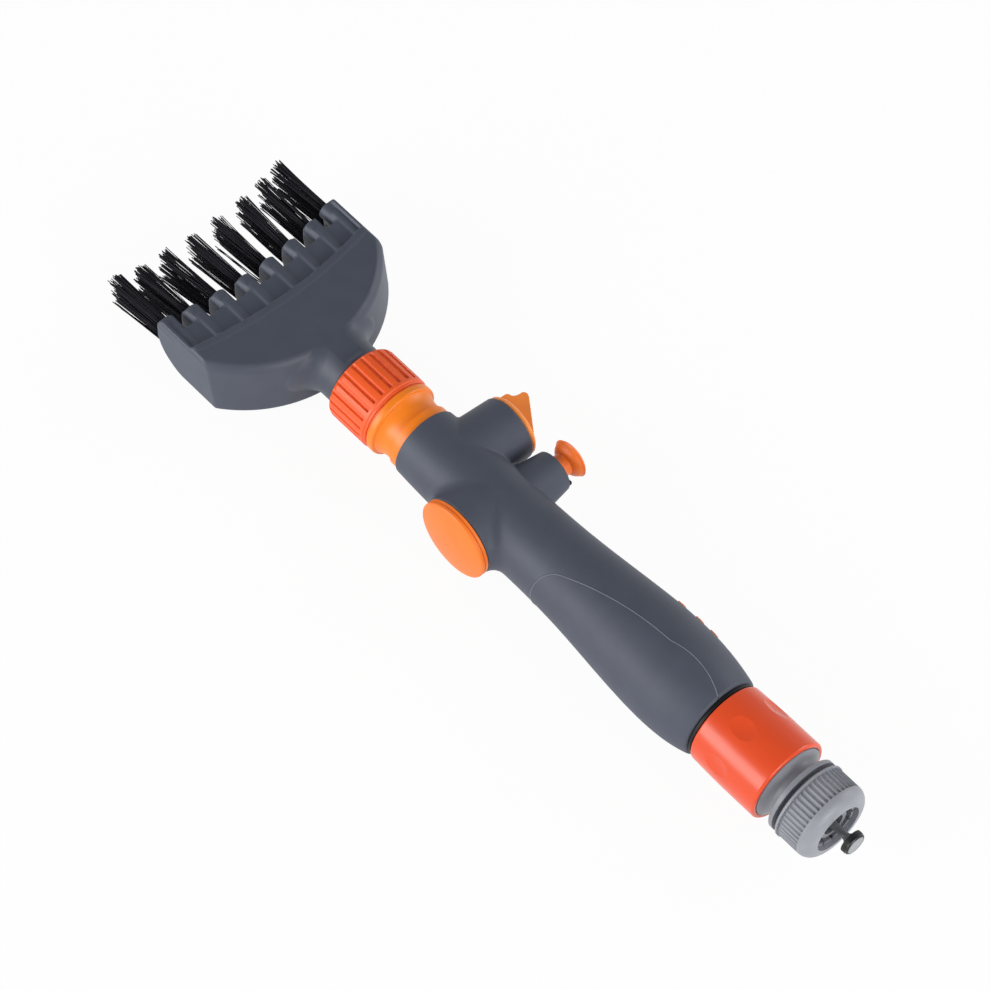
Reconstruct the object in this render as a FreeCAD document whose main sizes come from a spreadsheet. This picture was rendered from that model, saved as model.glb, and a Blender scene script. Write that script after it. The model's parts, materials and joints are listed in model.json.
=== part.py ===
"""Hand-held wash wand with a comb head, as a parametric document in millimetres.

+X runs along the wand to the hose end, +Y points to the side of the tap and the button, and +Z is up
with the wand lying flat. The origin is the middle of the hose barb's mouth, on the water line.
"""
import FreeCAD, Part
import Sketcher
import math
import operator
import os

SIZES = {
    # hose end, from the barb's mouth back to the wand
    "barb_radius": 6.5,
    "barb_bore": 4.6,
    "barb_length": 14.0,
    "nut_overhang": 2.5,
    "nut_length": 16.0,
    "nut_radius": 16.4,
    "nut_rim_width": 1.0,
    "nut_rim_height": 0.4,
    "nut_lip_length": 5.0,
    "nut_mouth_radius": 10.4,
    "nut_rib_count": 50,
    "nut_rib_depth": 0.8,
    "nut_wall": 3.6,
    "groove_gap": 2.0,
    "flange_width": 2.1,
    "flange_radius": 16.2,
    "neck_length": 6.2,
    "neck_radius": 12.9,
    "stub_wall": 2.0,
    "collet_wall": 1.4,
    "collet_slits": 12,
    "slit_width": 1.2,
    # quick connector
    "sleeve_length": 33.5,
    "sleeve_radius": 17.9,
    "sleeve_front_radius": 17.4,
    "sleeve_wall": 1.7,
    "rib_width": 2.0,
    "rib_inner_radius": 12.7,
    "rib_overlap": 1.0,
    "dimple_radius": 6.2,
    "dimple_depth": 0.9,
    "dimple_count": 6,
    "dimple_turn": 44.0,
    "dimple_place": 12.7,
    "shoulder_width": 2.9,
    "socket_wall": 3.0,
    "claw_length": 4.0,
    "claw_width": 5.4,
    "claw_height": 4.4,
    "spring_wall": 1.2,
    # male nipple screwed into the wand
    "nipple_radius": 8.3,
    "nipple_bore": 4.8,
    "nipple_reach": 21.3,
    "nipple_flange_radius": 16.8,
    "nipple_flange_width": 1.6,
    "thread_radius": 7.5,
    "thread_length": 14.0,
    "ring_cord": 1.7,
    # closing poppet of the hose end
    "stem_radius": 1.6,
    "poppet_radius": 4.9,
    "poppet_reach": 11.5,
    "poppet_foot_radius": 4.0,
    "poppet_seal_width": 1.6,
    "guide_width": 2.0,
    # wand
    "shell_length": 162.5,
    "front_radius": 15.1,
    "waist_radius": 16.5,
    "belly_radius": 20.9,
    "rear_radius": 17.5,
    "belly_shift": 1.0,
    "core_radius": 12.4,
    "rear_core_radius": 9.5,
    "water_bore": 5.5,
    "core_front_length": 59.0,
    "cover_length": 86.0,
    "cover_depth": 1.8,
    "grip_rim": 1.6,
    "inlay_width": 2.6,
    "inlay_height": 19.0,
    "inlay_proud": 0.4,
    # orange collar at the front of the core
    "collar_length": 15.4,
    "collar_flange_width": 3.4,
    "collar_flange_radius": 16.2,
    "collar_lip": 1.1,
    "collar_sweep": 4.8,
    "collar_waist_radius": 13.5,
    "collar_ring_width": 3.8,
    "collar_ring_radius": 14.4,
    "neck_thread_length": 14.0,
    # tap
    "tap_place": 16.5,
    "tap_chimney_height": 28.8,
    "tap_chimney_radius": 13.5,
    "tap_chimney_flare": 2.0,
    "tap_root": 1.4,
    "tap_barrel_wall": 1.9,
    "plug_radius": 8.9,
    "plug_depth": 7.8,
    "plug_stem_radius": 4.8,
    "knob_radius": 13.0,
    "knob_plate": 2.2,
    "knob_rise": 14.1,
    "knob_thickness": 6.0,
    # push button and soap dosing
    "button_spacing": 25.8,
    "button_chimney_height": 28.4,
    "button_chimney_radius": 8.7,
    "button_chimney_flare": 4.2,
    "button_root": 1.0,
    "button_barrel_radius": 6.4,
    "button_stem_radius": 4.6,
    "button_head_radius": 8.3,
    "button_reach": 37.8,
    "button_crown": 0.4,
    "nib_width": 1.6,
    "nib_height": 0.8,
    "spindle_radius": 2.4,
    "button_seat": 15.5,
    "dosing_radius": 4.2,
    "dosing_width": 1.5,
    # soap chamber and its lid
    "lid_offset": 2.2,
    "boss_radius": 17.0,
    "boss_height": 18.8,
    "boss_start": 2.0,
    "boss_flare": 0.8,
    "boss_root": 6.0,
    "chamber_radius": 13.0,
    "chamber_wall": 1.6,
    "chamber_roof": 9.0,
    "lid_radius": 16.9,
    "lid_rim_width": 3.2,
    "lid_crown": 2.0,
    "lid_wall": 2.0,
    "spigot_length": 3.6,
    # union nut
    "union_gap": 0.2,
    "union_length": 22.2,
    "union_radius": 16.5,
    "union_bore": 14.4,
    "union_rib_count": 24,
    "union_rib_depth": 1.0,
    "union_valley": 1.1,
    "union_band": 3.2,
    "union_rear_lip": 1.0,
    "union_lip": 2.7,
    "union_front_round": 2.5,
    # head
    "neck_show": 11.0,
    "head_neck_radius": 13.3,
    "neck_groove_radius": 12.5,
    "neck_flange_width": 2.5,
    "seal_width": 2.5,
    "head_arc": 56.0,
    "head_half_width": 44.6,
    "head_top": 13.0,
    "head_bottom": 13.3,
    "head_wall": 2.8,
    "head_lean": 2.0,
    "head_brim": 5.0,
    "head_foot": 1.6,
    "side_round": 2.6,
    "neck_flare": 8.0,
    "bead_place": 31.7,
    "comb_depth": 18.8,
    "comb_arc": 202.4,
    "rib_top": 11.5,
    "rib_start": 4.0,
    "nose_top": 10.8,
    "nose_arch": 3.9,
    "nose_brow": 3.2,
    "pad_top": 9.5,
    "tooth_pitch": 12.2,
    "tooth_count": 8,
    "slot_width": 4.6,
    "slot_depth": 10.8,
    "comb_rib_width": 4.2,
    "end_plate_width": 2.9,
    "end_plate_rise": 0.5,
    "plate_nose": 2.6,
    "chin_bend": 50.0,
    "chin_height": 3.0,
    "jet_radius": 0.9,
    # bristle tufts
    "tuft_root_radius": 1.9,
    "tuft_tip_radius": 3.1,
    "tuft_length": 28.0,
    "tuft_socket": 4.0,
    "tuft_upper": 6.5,
    "tuft_middle": 0.5,
    "tuft_lower": -4.8,
    "end_tuft_inset": 3.6,
    # named clearances
    "running_gap": 0.1,
    "free_gap": 0.3,
    "seat_gap": 0.1,
    "line_gap": 0.2,
}

document = FreeCAD.newDocument("wash_wand")
sheet = document.addObject("Spreadsheet::Sheet", "sizes")
for row, (alias, amount) in enumerate(SIZES.items(), start=1):
    sheet.set(f"A{row}", alias.replace("_", " "))
    sheet.set(f"B{row}", str(amount))
    sheet.setAlias(f"B{row}", alias)
document.recompute()


class Size:
    """A size with its number and the words that bind it to the sheet."""

    def __init__(self, number, words):
        self.number = number
        self.words = words

    def __add__(self, other):
        return joined(self, "+", other)

    def __radd__(self, other):
        return joined(other, "+", self)

    def __sub__(self, other):
        return joined(self, "-", other)

    def __rsub__(self, other):
        return joined(other, "-", self)

    def __mul__(self, other):
        return joined(self, "*", other)

    def __rmul__(self, other):
        return joined(other, "*", self)

    def __truediv__(self, other):
        return joined(self, "/", other)

    def __neg__(self):
        return joined(0, "-", self)


SIGNS = {"+": operator.add, "-": operator.sub, "*": operator.mul, "/": operator.truediv}


def number(value):
    """The plain number of a size or of a number."""
    return value.number if isinstance(value, Size) else float(value)


def words(value):
    """The words of a size, or a plain number as text."""
    return value.words if isinstance(value, Size) else f"({float(value)})"


def joined(left, sign, right):
    """Two sizes worked out together."""
    result = SIGNS[sign](number(left), number(right))
    return Size(result, f"({words(left)} {sign} {words(right)})")


def root(value):
    """The square root of a size."""
    return Size(math.sqrt(number(value)), f"sqrt({words(value)})")


def sine(degrees):
    """The sine of an angle in degrees."""
    return Size(math.sin(math.radians(number(degrees))), f"sin({words(degrees)})")


def cosine(degrees):
    """The cosine of an angle in degrees."""
    return Size(math.cos(math.radians(number(degrees))), f"cos({words(degrees)})")


def size(alias):
    """The size that the sheet holds under a name."""
    return Size(float(sheet.get(alias)), f"sizes.{alias}")


def bind(thing, prop, value):
    """Bind a property of an object to a size."""
    thing.setExpression(prop, words(value))


# stations along the wand, from the hose end to the comb
nut_lip_x = size("nut_overhang")
nut_rim_x = nut_lip_x - size("nut_length")
flange_rear_x = nut_rim_x - size("groove_gap")
flange_front_x = flange_rear_x - size("flange_width")
sleeve_rear_x = flange_front_x - size("neck_length")
sleeve_front_x = sleeve_rear_x - size("sleeve_length")
nipple_face_x = sleeve_front_x - size("free_gap")
grip_end_x = nipple_face_x - size("nipple_flange_width")
shell_front_x = grip_end_x - size("shell_length")
collar_front_x = shell_front_x - size("collar_length")
core_front_x = collar_front_x - size("neck_thread_length")
union_rear_x = collar_front_x - size("union_gap")
union_front_x = union_rear_x - size("union_length")
head_end_x = union_front_x - size("neck_show")
bead_x = head_end_x - size("bead_place")
nose_x = bead_x - size("comb_depth")
arc_centre_x = bead_x - size("comb_arc")
tap_x = shell_front_x + size("tap_place")
button_x = tap_x + size("button_spacing")
lid_x = button_x - size("lid_offset")

TOWARD = {
    "x": FreeCAD.Rotation(FreeCAD.Vector(0, 1, 0), 90),
    "-x": FreeCAD.Rotation(FreeCAD.Vector(0, 1, 0), -90),
    "y": FreeCAD.Rotation(FreeCAD.Vector(1, 0, 0), -90),
    "-y": FreeCAD.Rotation(FreeCAD.Vector(1, 0, 0), 90),
    "z": FreeCAD.Rotation(),
    "round x": FreeCAD.Rotation(FreeCAD.Vector(1, 0, 0), 45),
    "wide x": FreeCAD.Rotation(FreeCAD.Vector(1, 1, 1), 120),
}


def new_body(label):
    """An empty body under its node's name."""
    body = document.addObject("PartDesign::Body", label)
    body.Label = label
    return body


def origin_feature(body, role):
    """One of a body's own planes or axes."""
    return next(item for item in body.Origin.OriginFeatures if item.Role == role)


def new_sketch(body, plane, name, offset=0.0):
    """A sketch on one of the body's own planes, moved along the plane's normal."""
    sketch = body.newObject("Sketcher::SketchObject", name)
    sketch.AttachmentSupport = [(origin_feature(body, plane), "")]
    sketch.MapMode = "FlatFace"
    bind(sketch, "AttachmentOffset.Base.z", offset)
    return sketch


def pin_point(sketch, index, position, x, y):
    """Tie one end of a line or arc to its place."""
    for kind, value in (("DistanceX", x), ("DistanceY", y)):
        row = sketch.addConstraint(Sketcher.Constraint(kind, -1, 1, index, position, number(value)))
        sketch.setExpression(f"Constraints[{row}]", words(value))


def arc_between(start, end, radius):
    """A short arc from start to end: a positive radius turns left on the way, a negative one right."""
    way = end - start
    rise = math.sqrt(radius * radius - way.Length * way.Length / 4)
    left = FreeCAD.Vector(-way.y, way.x, 0).normalize()
    centre = start + way * 0.5 + left * math.copysign(rise, radius)
    ends = (start, end) if radius > 0 else (end, start)
    angles = [math.atan2(point.y - centre.y, point.x - centre.x) for point in ends]
    circle = Part.Circle(centre, FreeCAD.Vector(0, 0, 1), abs(radius))
    return Part.ArcOfCircle(circle, angles[0], angles[1])


def outline(sketch, corners):
    """A closed loop; a corner given with a radius is reached by an arc from the one before."""
    points = [FreeCAD.Vector(number(corner[0]), number(corner[1]), 0) for corner in corners]
    joints = []
    for place, corner in enumerate(corners):
        start = points[place - 1]
        if len(corner) == 2:
            index = sketch.addGeometry(Part.LineSegment(start, points[place]))
            joints.append((index, 1, 2))
        else:
            turn_radius = number(corner[2])
            index = sketch.addGeometry(arc_between(start, points[place], turn_radius))
            joints.append((index, 1, 2) if turn_radius > 0 else (index, 2, 1))
            row = sketch.addConstraint(Sketcher.Constraint("Radius", index, abs(turn_radius)))
            sketch.setExpression(f"Constraints[{row}]", f"abs({words(corner[2])})")
    for place, corner in enumerate(corners):
        index, _, end = joints[place]
        following, start, _ = joints[(place + 1) % len(joints)]
        sketch.addConstraint(Sketcher.Constraint("Coincident", index, end, following, start))
        pin_point(sketch, index, end, corner[0], corner[1])


def rectangle(sketch, x_low, x_high, y_low, y_high):
    """A rectangle between two corners."""
    outline(sketch, [(x_low, y_low), (x_high, y_low), (x_high, y_high), (x_low, y_high)])


def circle(sketch, x, y, radius):
    """A circle about a point."""
    middle = FreeCAD.Vector(number(x), number(y), 0)
    index = sketch.addGeometry(Part.Circle(middle, FreeCAD.Vector(0, 0, 1), number(radius)))
    pin_point(sketch, index, 3, x, y)
    row = sketch.addConstraint(Sketcher.Constraint("Radius", index, number(radius)))
    sketch.setExpression(f"Constraints[{row}]", words(radius))


def turn(body, name, corners, about=None, cut=False):
    """Turn a profile about the water line, or about an upright line across it."""
    sketch = new_sketch(body, "XY_Plane", f"{name}_profile")
    outline(sketch, corners)
    axis = "H_Axis"
    if about is not None:
        line = Part.LineSegment(
            FreeCAD.Vector(number(about), -1, 0), FreeCAD.Vector(number(about), 1, 0)
        )
        index = sketch.addGeometry(line, True)
        pin_point(sketch, index, 1, about, -1)
        pin_point(sketch, index, 2, about, 1)
        axis = "Axis0"
    feature = body.newObject("PartDesign::Groove" if cut else "PartDesign::Revolution", name)
    feature.Profile = (sketch, [""])
    feature.ReferenceAxis = (sketch, [axis])
    feature.Angle = 360
    return feature


def extrude(body, name, sketch, length, cut=False, backward=False, both=False):
    """Pad or pocket a sketch."""
    feature = body.newObject("PartDesign::Pocket" if cut else "PartDesign::Pad", name)
    feature.Profile = (sketch, [""])
    bind(feature, "Length", length)
    feature.Reversed = backward
    feature.Midplane = both
    return feature


def around(body, name, feature, count, axis="X_Axis"):
    """Repeat a feature round one of the body's axes."""
    pattern = body.newObject("PartDesign::PolarPattern", name)
    pattern.Originals = [feature]
    pattern.Axis = (origin_feature(body, axis), [""])
    pattern.Angle = 360
    bind(pattern, "Occurrences", count)
    body.Tip = pattern
    return pattern


def solid(kind, name, base, toward="z", **lengths):
    """A primitive with its lengths, place and direction bound to sizes."""
    item = document.addObject(f"Part::{kind}", name)
    item.Placement = FreeCAD.Placement(FreeCAD.Vector(), TOWARD[toward])
    for axis, value in zip("xyz", base):
        bind(item, f"Placement.Base.{axis}", value)
    for prop, value in lengths.items():
        bind(item, prop, value)
    return item


def combined(kind, name, items):
    """Several objects made into one."""
    result = document.addObject(f"Part::{kind}", name)
    if kind == "Compound":
        result.Links = items
    else:
        result.Shapes = items
    result.Label = name
    return result


def less(name, base, tool):
    """One object with another cut away."""
    result = document.addObject("Part::Cut", name)
    result.Base = base
    result.Tool = tool
    result.Label = name
    return result


def tube(label, x_low, x_high, inner, outer):
    """A plain tube along the water line."""
    body = new_body(label)
    turn(body, f"{label}_wall", [(x_low, inner), (x_high, inner), (x_high, outer), (x_low, outer)])
    return body


def ring(name, base, toward, outer_radius, cord):
    """A seal ring whose outer radius and cord are given."""
    return solid(
        "Torus", name, base, toward, Radius1=outer_radius - cord / 2, Radius2=cord / 2
    )


def ring_groove(about, wall, outer_radius, middle, cord):
    """The corners of a seal ring's groove in a wall beside an upright axis, from its low end."""
    floor = outer_radius - cord - size("seat_gap")
    half = cord / 2 + size("seat_gap")
    return [
        (about + wall, middle - half),
        (about + floor, middle - half),
        (about + floor, middle + half),
        (about + wall, middle + half),
    ]


# collar, thread, valve seats and water way: the core that runs through the wand
core_middle_x = shell_front_x + size("core_front_length")
core_end_x = grip_end_x - size("seat_gap")
collar_rear_x = collar_front_x + size("collar_flange_width")
collar_ring_x = shell_front_x - size("collar_ring_width")
thread_outer = size("union_bore") - size("free_gap")
tap_barrel_radius = size("plug_radius") + size("running_gap") + size("tap_barrel_wall")
tap_barrel_top = size("tap_chimney_height") - 1.8
button_barrel_top = size("button_chimney_height") - 1.6
button_bore = size("button_stem_radius") + size("free_gap")
chamber_outer = size("chamber_radius") + size("chamber_wall")
chamber_mouth = size("free_gap") - size("boss_height")
spindle_bore = size("spindle_radius") + size("running_gap")
plug_bore = size("plug_radius") + size("running_gap")


def disc_profile(about, radius, low, high):
    """Half a disc's section beside an upright axis."""
    return [(about, low), (about + radius, low), (about + radius, high), (about, high)]


def make_core_tube():
    body = new_body("core_tube")
    flange = size("collar_flange_radius")
    lip = size("collar_lip")
    waist = size("collar_waist_radius")
    sweep_x = collar_rear_x + size("collar_sweep")
    drop = flange - lip - waist
    sweep_radius = (size("collar_sweep") * size("collar_sweep") + drop * drop) / (2 * drop)
    turn(body, "core_barrel", [
        (core_front_x, 0),
        (core_front_x, thread_outer),
        (collar_front_x, thread_outer),
        (collar_front_x, flange - lip / 2),
        (collar_front_x + lip / 2, flange, -lip / 2),
        (collar_rear_x - lip, flange),
        (collar_rear_x, flange - lip, -lip),
        (sweep_x, waist, sweep_radius),
        (collar_ring_x, waist),
        (collar_ring_x, size("collar_ring_radius")),
        (shell_front_x, size("collar_ring_radius")),
        (shell_front_x, size("core_radius")),
        (core_middle_x, size("core_radius")),
        (core_middle_x + 4, size("rear_core_radius")),
        (core_end_x, size("rear_core_radius")),
        (core_end_x, 0),
    ])
    turn(body, "tap_barrel", disc_profile(tap_x, tap_barrel_radius, 0, tap_barrel_top), tap_x)
    turn(body, "button_barrel",
         disc_profile(button_x, size("button_barrel_radius"), 0, button_barrel_top), button_x)
    turn(body, "chamber_cup", disc_profile(lid_x, chamber_outer, chamber_mouth, 0), lid_x)
    thread_end_x = grip_end_x - size("thread_length")
    thread_bore = size("thread_radius") + size("seat_gap")
    turn(body, "water_way", [
        (core_front_x, 0),
        (core_front_x, size("water_bore")),
        (thread_end_x, size("water_bore")),
        (thread_end_x, thread_bore),
        (core_end_x, thread_bore),
        (core_end_x, 0),
    ], cut=True)
    turn(body, "tap_bore",
         disc_profile(tap_x, plug_bore, -size("plug_depth") - size("running_gap"), tap_barrel_top),
         tap_x, cut=True)
    turn(body, "button_bore", [
        (button_x, -size("chamber_roof")),
        (button_x + spindle_bore, -size("chamber_roof")),
        (button_x + spindle_bore, size("button_seat")),
        (button_x + button_bore, size("button_seat")),
        (button_x + button_bore, button_barrel_top),
        (button_x, button_barrel_top),
    ], button_x, cut=True)
    turn(body, "chamber_hollow",
         disc_profile(lid_x, size("chamber_radius"), chamber_mouth, -size("chamber_roof")),
         lid_x, cut=True)
    return body


# grip sections: share of the way from the shell's front to its end, radius and shift toward +Y
def grip_sections(inset):
    belly = size("belly_radius") - inset
    waist = size("waist_radius") - inset
    front = size("front_radius") - inset
    rear = size("rear_radius") - inset
    shift = size("belly_shift")
    return [
        (0.0, front, 0.0),
        (0.09, front + 0.75, 0.0),
        (0.22, waist - 0.2, 0.15 * shift),
        (0.43, waist + 0.1, 0.65 * shift),
        (0.58, waist + 0.35 * (belly - waist), shift),
        (0.69, waist + 0.72 * (belly - waist), 0.95 * shift),
        (0.82, belly, 0.55 * shift),
        (0.92, belly - 0.22 * (belly - rear), 0.0),
        (1.0, rear, 0.0),
    ]


def grip_loft(name, inset):
    """The grip's skin, drawn in by the inset."""
    rings = []
    for place, (share, radius, shift) in enumerate(grip_sections(inset)):
        base = (shell_front_x + share * size("shell_length"), shift, 0)
        rings.append(solid("Circle", f"{name}_ring_{place}", base, "x", Radius=radius))
    loft = document.addObject("Part::Loft", name)
    loft.Sections = rings
    loft.Solid = True
    return loft


def chimney(name, x, height, radius, flare):
    """A tapered chimney that stands on the wand's side."""
    return solid("Cone", name, (x, 0, 0), "y",
                 Radius1=radius + flare, Radius2=radius, Height=height)


def rimmed(name, base, axis, rims):
    """Round the rims of an object that lie square across one axis, each at its level."""
    document.recompute()
    rounds = []
    for place, edge in enumerate(base.Shape.Edges, start=1):
        box = edge.BoundBox
        span = {"x": (box.XMin, box.XMax), "y": (box.YMin, box.YMax)}[axis]
        for level, radius in rims:
            if all(abs(end - number(level)) < 0.01 for end in span):
                rounds.append((place, number(radius), number(radius)))
    fillet = document.addObject("Part::Fillet", name)
    fillet.Base = base
    fillet.Edges = rounds
    return fillet


def rooted(name, base, tool, radius):
    """Join a chimney or a boss to the wand and round the seam where their skins meet."""
    joined_up = combined("MultiFuse", f"{name}_joined", [base, tool])
    document.recompute()

    def on_seam(edge):
        middle = Part.Vertex(edge.valueAt((edge.FirstParameter + edge.LastParameter) / 2))
        skins = (base.Shape.Shells[0], tool.Shape.Shells[0])
        return all(skin.distToShape(middle)[0] < 0.001 for skin in skins)

    fillet = document.addObject("Part::Fillet", f"{name}_rooted")
    fillet.Base = joined_up
    fillet.Edges = [
        (place, number(radius), number(radius))
        for place, edge in enumerate(joined_up.Shape.Edges, start=1) if on_seam(edge)
    ]
    return fillet


def make_handle_shell(cover_cutter, inlays):
    """The wand's outer shell: grip, lid boss and the two chimneys, hollowed for the core."""
    boss = solid("Cone", "lid_boss", (lid_x, size("boss_start"), 0), "-y",
                 Radius1=size("boss_radius") - size("boss_flare"), Radius2=size("boss_radius"),
                 Height=size("boss_start") + size("boss_height"))
    boss = rimmed("boss_rim", boss, "y", [(-size("boss_height"), 0.6)])
    grip = rimmed("grip_rims", grip_loft("grip_outline", 0.0), "x",
                  [(shell_front_x, 0.5), (grip_end_x, size("grip_rim"))])
    tap_height = size("tap_chimney_height")
    tap_side = chimney("tap_chimney", tap_x, tap_height,
                       size("tap_chimney_radius"), size("tap_chimney_flare"))
    tap_side = rimmed("tap_rim", tap_side, "y", [(tap_height, 0.8)])
    button_height = size("button_chimney_height")
    button_side = chimney("button_chimney", button_x, button_height,
                          size("button_chimney_radius"), size("button_chimney_flare"))
    button_side = rimmed("button_rim", button_side, "y", [(button_height, 0.6)])
    document.recompute()
    outside = rooted("boss", grip, boss, size("boss_root"))
    outside = rooted("tap", outside, tap_side, size("tap_root"))
    rounded = rooted("button", outside, button_side, size("button_root"))
    seat = size("seat_gap")
    length = size("shell_length")
    inside = combined("MultiFuse", "shell_inside", [
        solid("Cylinder", "front_room", (shell_front_x, 0, 0), "x",
              Radius=size("core_radius") + seat, Height=size("core_front_length")),
        solid("Cone", "room_taper", (core_middle_x, 0, 0), "x", Height=4.0,
              Radius1=size("core_radius") + seat, Radius2=size("rear_core_radius") + seat),
        solid("Cylinder", "rear_room", (shell_front_x, 0, 0), "x",
              Radius=size("rear_core_radius") + seat, Height=length),
        solid("Cylinder", "tap_room", (tap_x, 0, 0), "y",
              Radius=tap_barrel_radius + seat, Height=size("tap_chimney_height")),
        solid("Cylinder", "button_room", (button_x, 0, 0), "y",
              Radius=size("button_barrel_radius") + seat, Height=size("button_chimney_height")),
        solid("Cylinder", "chamber_room", (lid_x, 0, 0), "-y",
              Radius=chamber_outer + seat, Height=size("boss_height")),
    ])
    hollow = less("hollow_shell", rounded, inside)
    uncovered = less("uncovered_shell", hollow, cover_cutter)
    return less("handle_shell", uncovered, inlays)


def cover_prism(name, grow):
    """The upright prism whose plan is the grip cover's rounded tongue, grown all round."""
    body = new_body(name)
    start_x = grip_end_x - size("cover_length")
    sketch = new_sketch(body, "XY_Plane", f"{name}_plan")
    far = -size("belly_radius") - 8
    outline(sketch, [
        (start_x - grow, far),
        (grip_end_x + 5, far),
        (grip_end_x + 5, -6.0 + grow),
        (start_x + 58, grow - 0.2, 34.0),
        (start_x + 9, grow - 8.2, 165.0),
        (start_x - grow, -18.0, 12.0),
    ])
    extrude(body, f"{name}_pad", sketch, 2 * size("belly_radius") + 10, both=True)
    return body


def make_grip_cover():
    """The soft cover let into the wand's near side, with a fine line round it."""
    outside = rimmed("cover_rim", grip_loft("cover_outside", 0.0), "x",
                     [(grip_end_x, size("grip_rim"))])
    skin = less("cover_skin", outside, grip_loft("cover_inside", size("cover_depth")))
    return combined("MultiCommon", "grip_cover", [skin, cover_prism("cover_plan", 0.0)])


def make_cover_cutter():
    """What the grip cover and its line take out of the shell."""
    skin = less("cutter_skin", grip_loft("cutter_outside", -6.0),
                grip_loft("cutter_inside", size("cover_depth") + size("line_gap")))
    prism = cover_prism("cutter_plan", size("line_gap"))
    return combined("MultiCommon", "cover_cutter", [skin, prism])


def make_grip_inlays():
    """Three short bars let into the far side of the grip."""
    skin = less("inlay_skin", grip_loft("inlay_outside", -size("inlay_proud")),
                grip_loft("inlay_inside", 1.6))
    bars = []
    for place, share in enumerate((0.257, 0.2, 0.152)):
        x = grip_end_x - share * size("shell_length") - size("inlay_width") / 2
        bars.append(solid("Box", f"inlay_bar_{place}", (x, 0, -size("inlay_height") / 2),
                          Length=size("inlay_width"), Width=30, Height=size("inlay_height")))
    block = combined("MultiFuse", "inlay_bars", bars)
    return combined("MultiCommon", "grip_inlays", [skin, block])


core_tube = make_core_tube()
grip_cover = make_grip_cover()
grip_inlays = make_grip_inlays()
handle_shell = make_handle_shell(make_cover_cutter(), grip_inlays)

# male nipple with its black ring, and the seal near its tip
nipple_tip_x = nipple_face_x + size("nipple_reach")
claw_x = nipple_face_x + 8.1
ring_seat_x = nipple_tip_x - 4.2


def make_nipple():
    body = new_body("nipple")
    radius = size("nipple_radius")
    cord = size("ring_cord")
    groove = ring_groove(0, radius, nipple_ring_radius, ring_seat_x, cord)
    turn(body, "nipple_turned", [
        (grip_end_x - size("thread_length") + 1, size("nipple_bore")),
        (grip_end_x - size("thread_length") + 1, size("thread_radius")),
        (grip_end_x, size("thread_radius")),
        (grip_end_x, size("nipple_flange_radius") - 0.4),
        (grip_end_x + 0.4, size("nipple_flange_radius")),
        (nipple_face_x, size("nipple_flange_radius")),
        (nipple_face_x, radius),
        (claw_x - 0.4, radius),
        (claw_x - 0.4, radius - 1.1),
        (claw_x + size("claw_length") + 0.4, radius - 1.1),
        (claw_x + size("claw_length") + 0.4, radius),
        *((along, across) for across, along in groove),
        (nipple_tip_x - 0.8, radius),
        (nipple_tip_x, radius - 0.8),
        (nipple_tip_x, size("nipple_bore")),
    ])
    return body


socket_bore = size("nipple_radius") + size("free_gap")
nipple_ring_radius = socket_bore - size("running_gap") / 2
nipple = make_nipple()
nipple_ring = ring("nipple_ring", (ring_seat_x, 0, 0), "x", nipple_ring_radius, size("ring_cord"))

# union nut, head neck and the flat seal between head and core
seal_front_x = core_front_x - size("free_gap") - size("seal_width")
neck_flange_x = seal_front_x - size("neck_flange_width")
lip_rear_x = union_front_x + size("union_lip")
neck_groove_x = union_front_x - 0.7


def make_union_nut():
    """The union nut: rounded ribs with narrow valleys between them, a plain band and a lip."""
    body = new_body("union_nut")
    radius = size("union_radius")
    mouth = size("neck_groove_radius") + size("free_gap")
    lip = size("union_rear_lip")
    turn(body, "union_turned", [
        (union_front_x, mouth),
        (union_front_x, radius - size("union_front_round")),
        (union_front_x + size("union_front_round"), radius, -size("union_front_round")),
        (union_rear_x - 2 * lip, radius),
        (union_rear_x - 1.5 * lip, radius - lip / 2),
        (union_rear_x - lip, radius - lip / 2),
        (union_rear_x - lip / 2, radius - lip, -lip / 2),
        (union_rear_x, radius - lip),
        (union_rear_x, size("union_bore")),
        (lip_rear_x, size("union_bore")),
        (lip_rear_x, mouth),
    ])
    valley = size("union_valley")
    flute = new_sketch(body, "YZ_Plane", "union_flute_section", union_front_x)
    circle(flute, 0, radius - size("union_rib_depth") + valley, valley)
    cut = extrude(body, "union_flute", flute, size("union_length") - size("union_band"),
                  cut=True, backward=True)
    around(body, "union_flutes", cut, size("union_rib_count"))
    return body


union_nut = make_union_nut()
union_seal = tube("union_seal", seal_front_x, seal_front_x + size("seal_width"), 9.0, 13.0)


def arc_x(place, y):
    """Where an arc about the far axis lies at a given y, from its place on the middle line."""
    radius = place - arc_centre_x
    return arc_centre_x + root(radius * radius - y * y)


def head_block(name):
    """The long block that gives the fan and the comb their shared flat sides."""
    body = new_body(name)
    half = size("head_half_width")
    top = size("head_top")
    bottom = -size("head_bottom")
    brim = size("side_round")
    foot = size("head_foot")
    section = new_sketch(body, "YZ_Plane", f"{name}_section", nose_x - 10)
    outline(section, [
        (half - foot, bottom),
        (half, bottom + foot, foot),
        (half, top - brim),
        (half - brim, top, brim),
        (brim - half, top),
        (-half, top - brim, brim),
        (-half, bottom + foot),
        (foot - half, bottom, foot),
    ])
    extrude(body, f"{name}_pad", section, size("comb_depth") + size("head_arc"))
    return body


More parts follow.
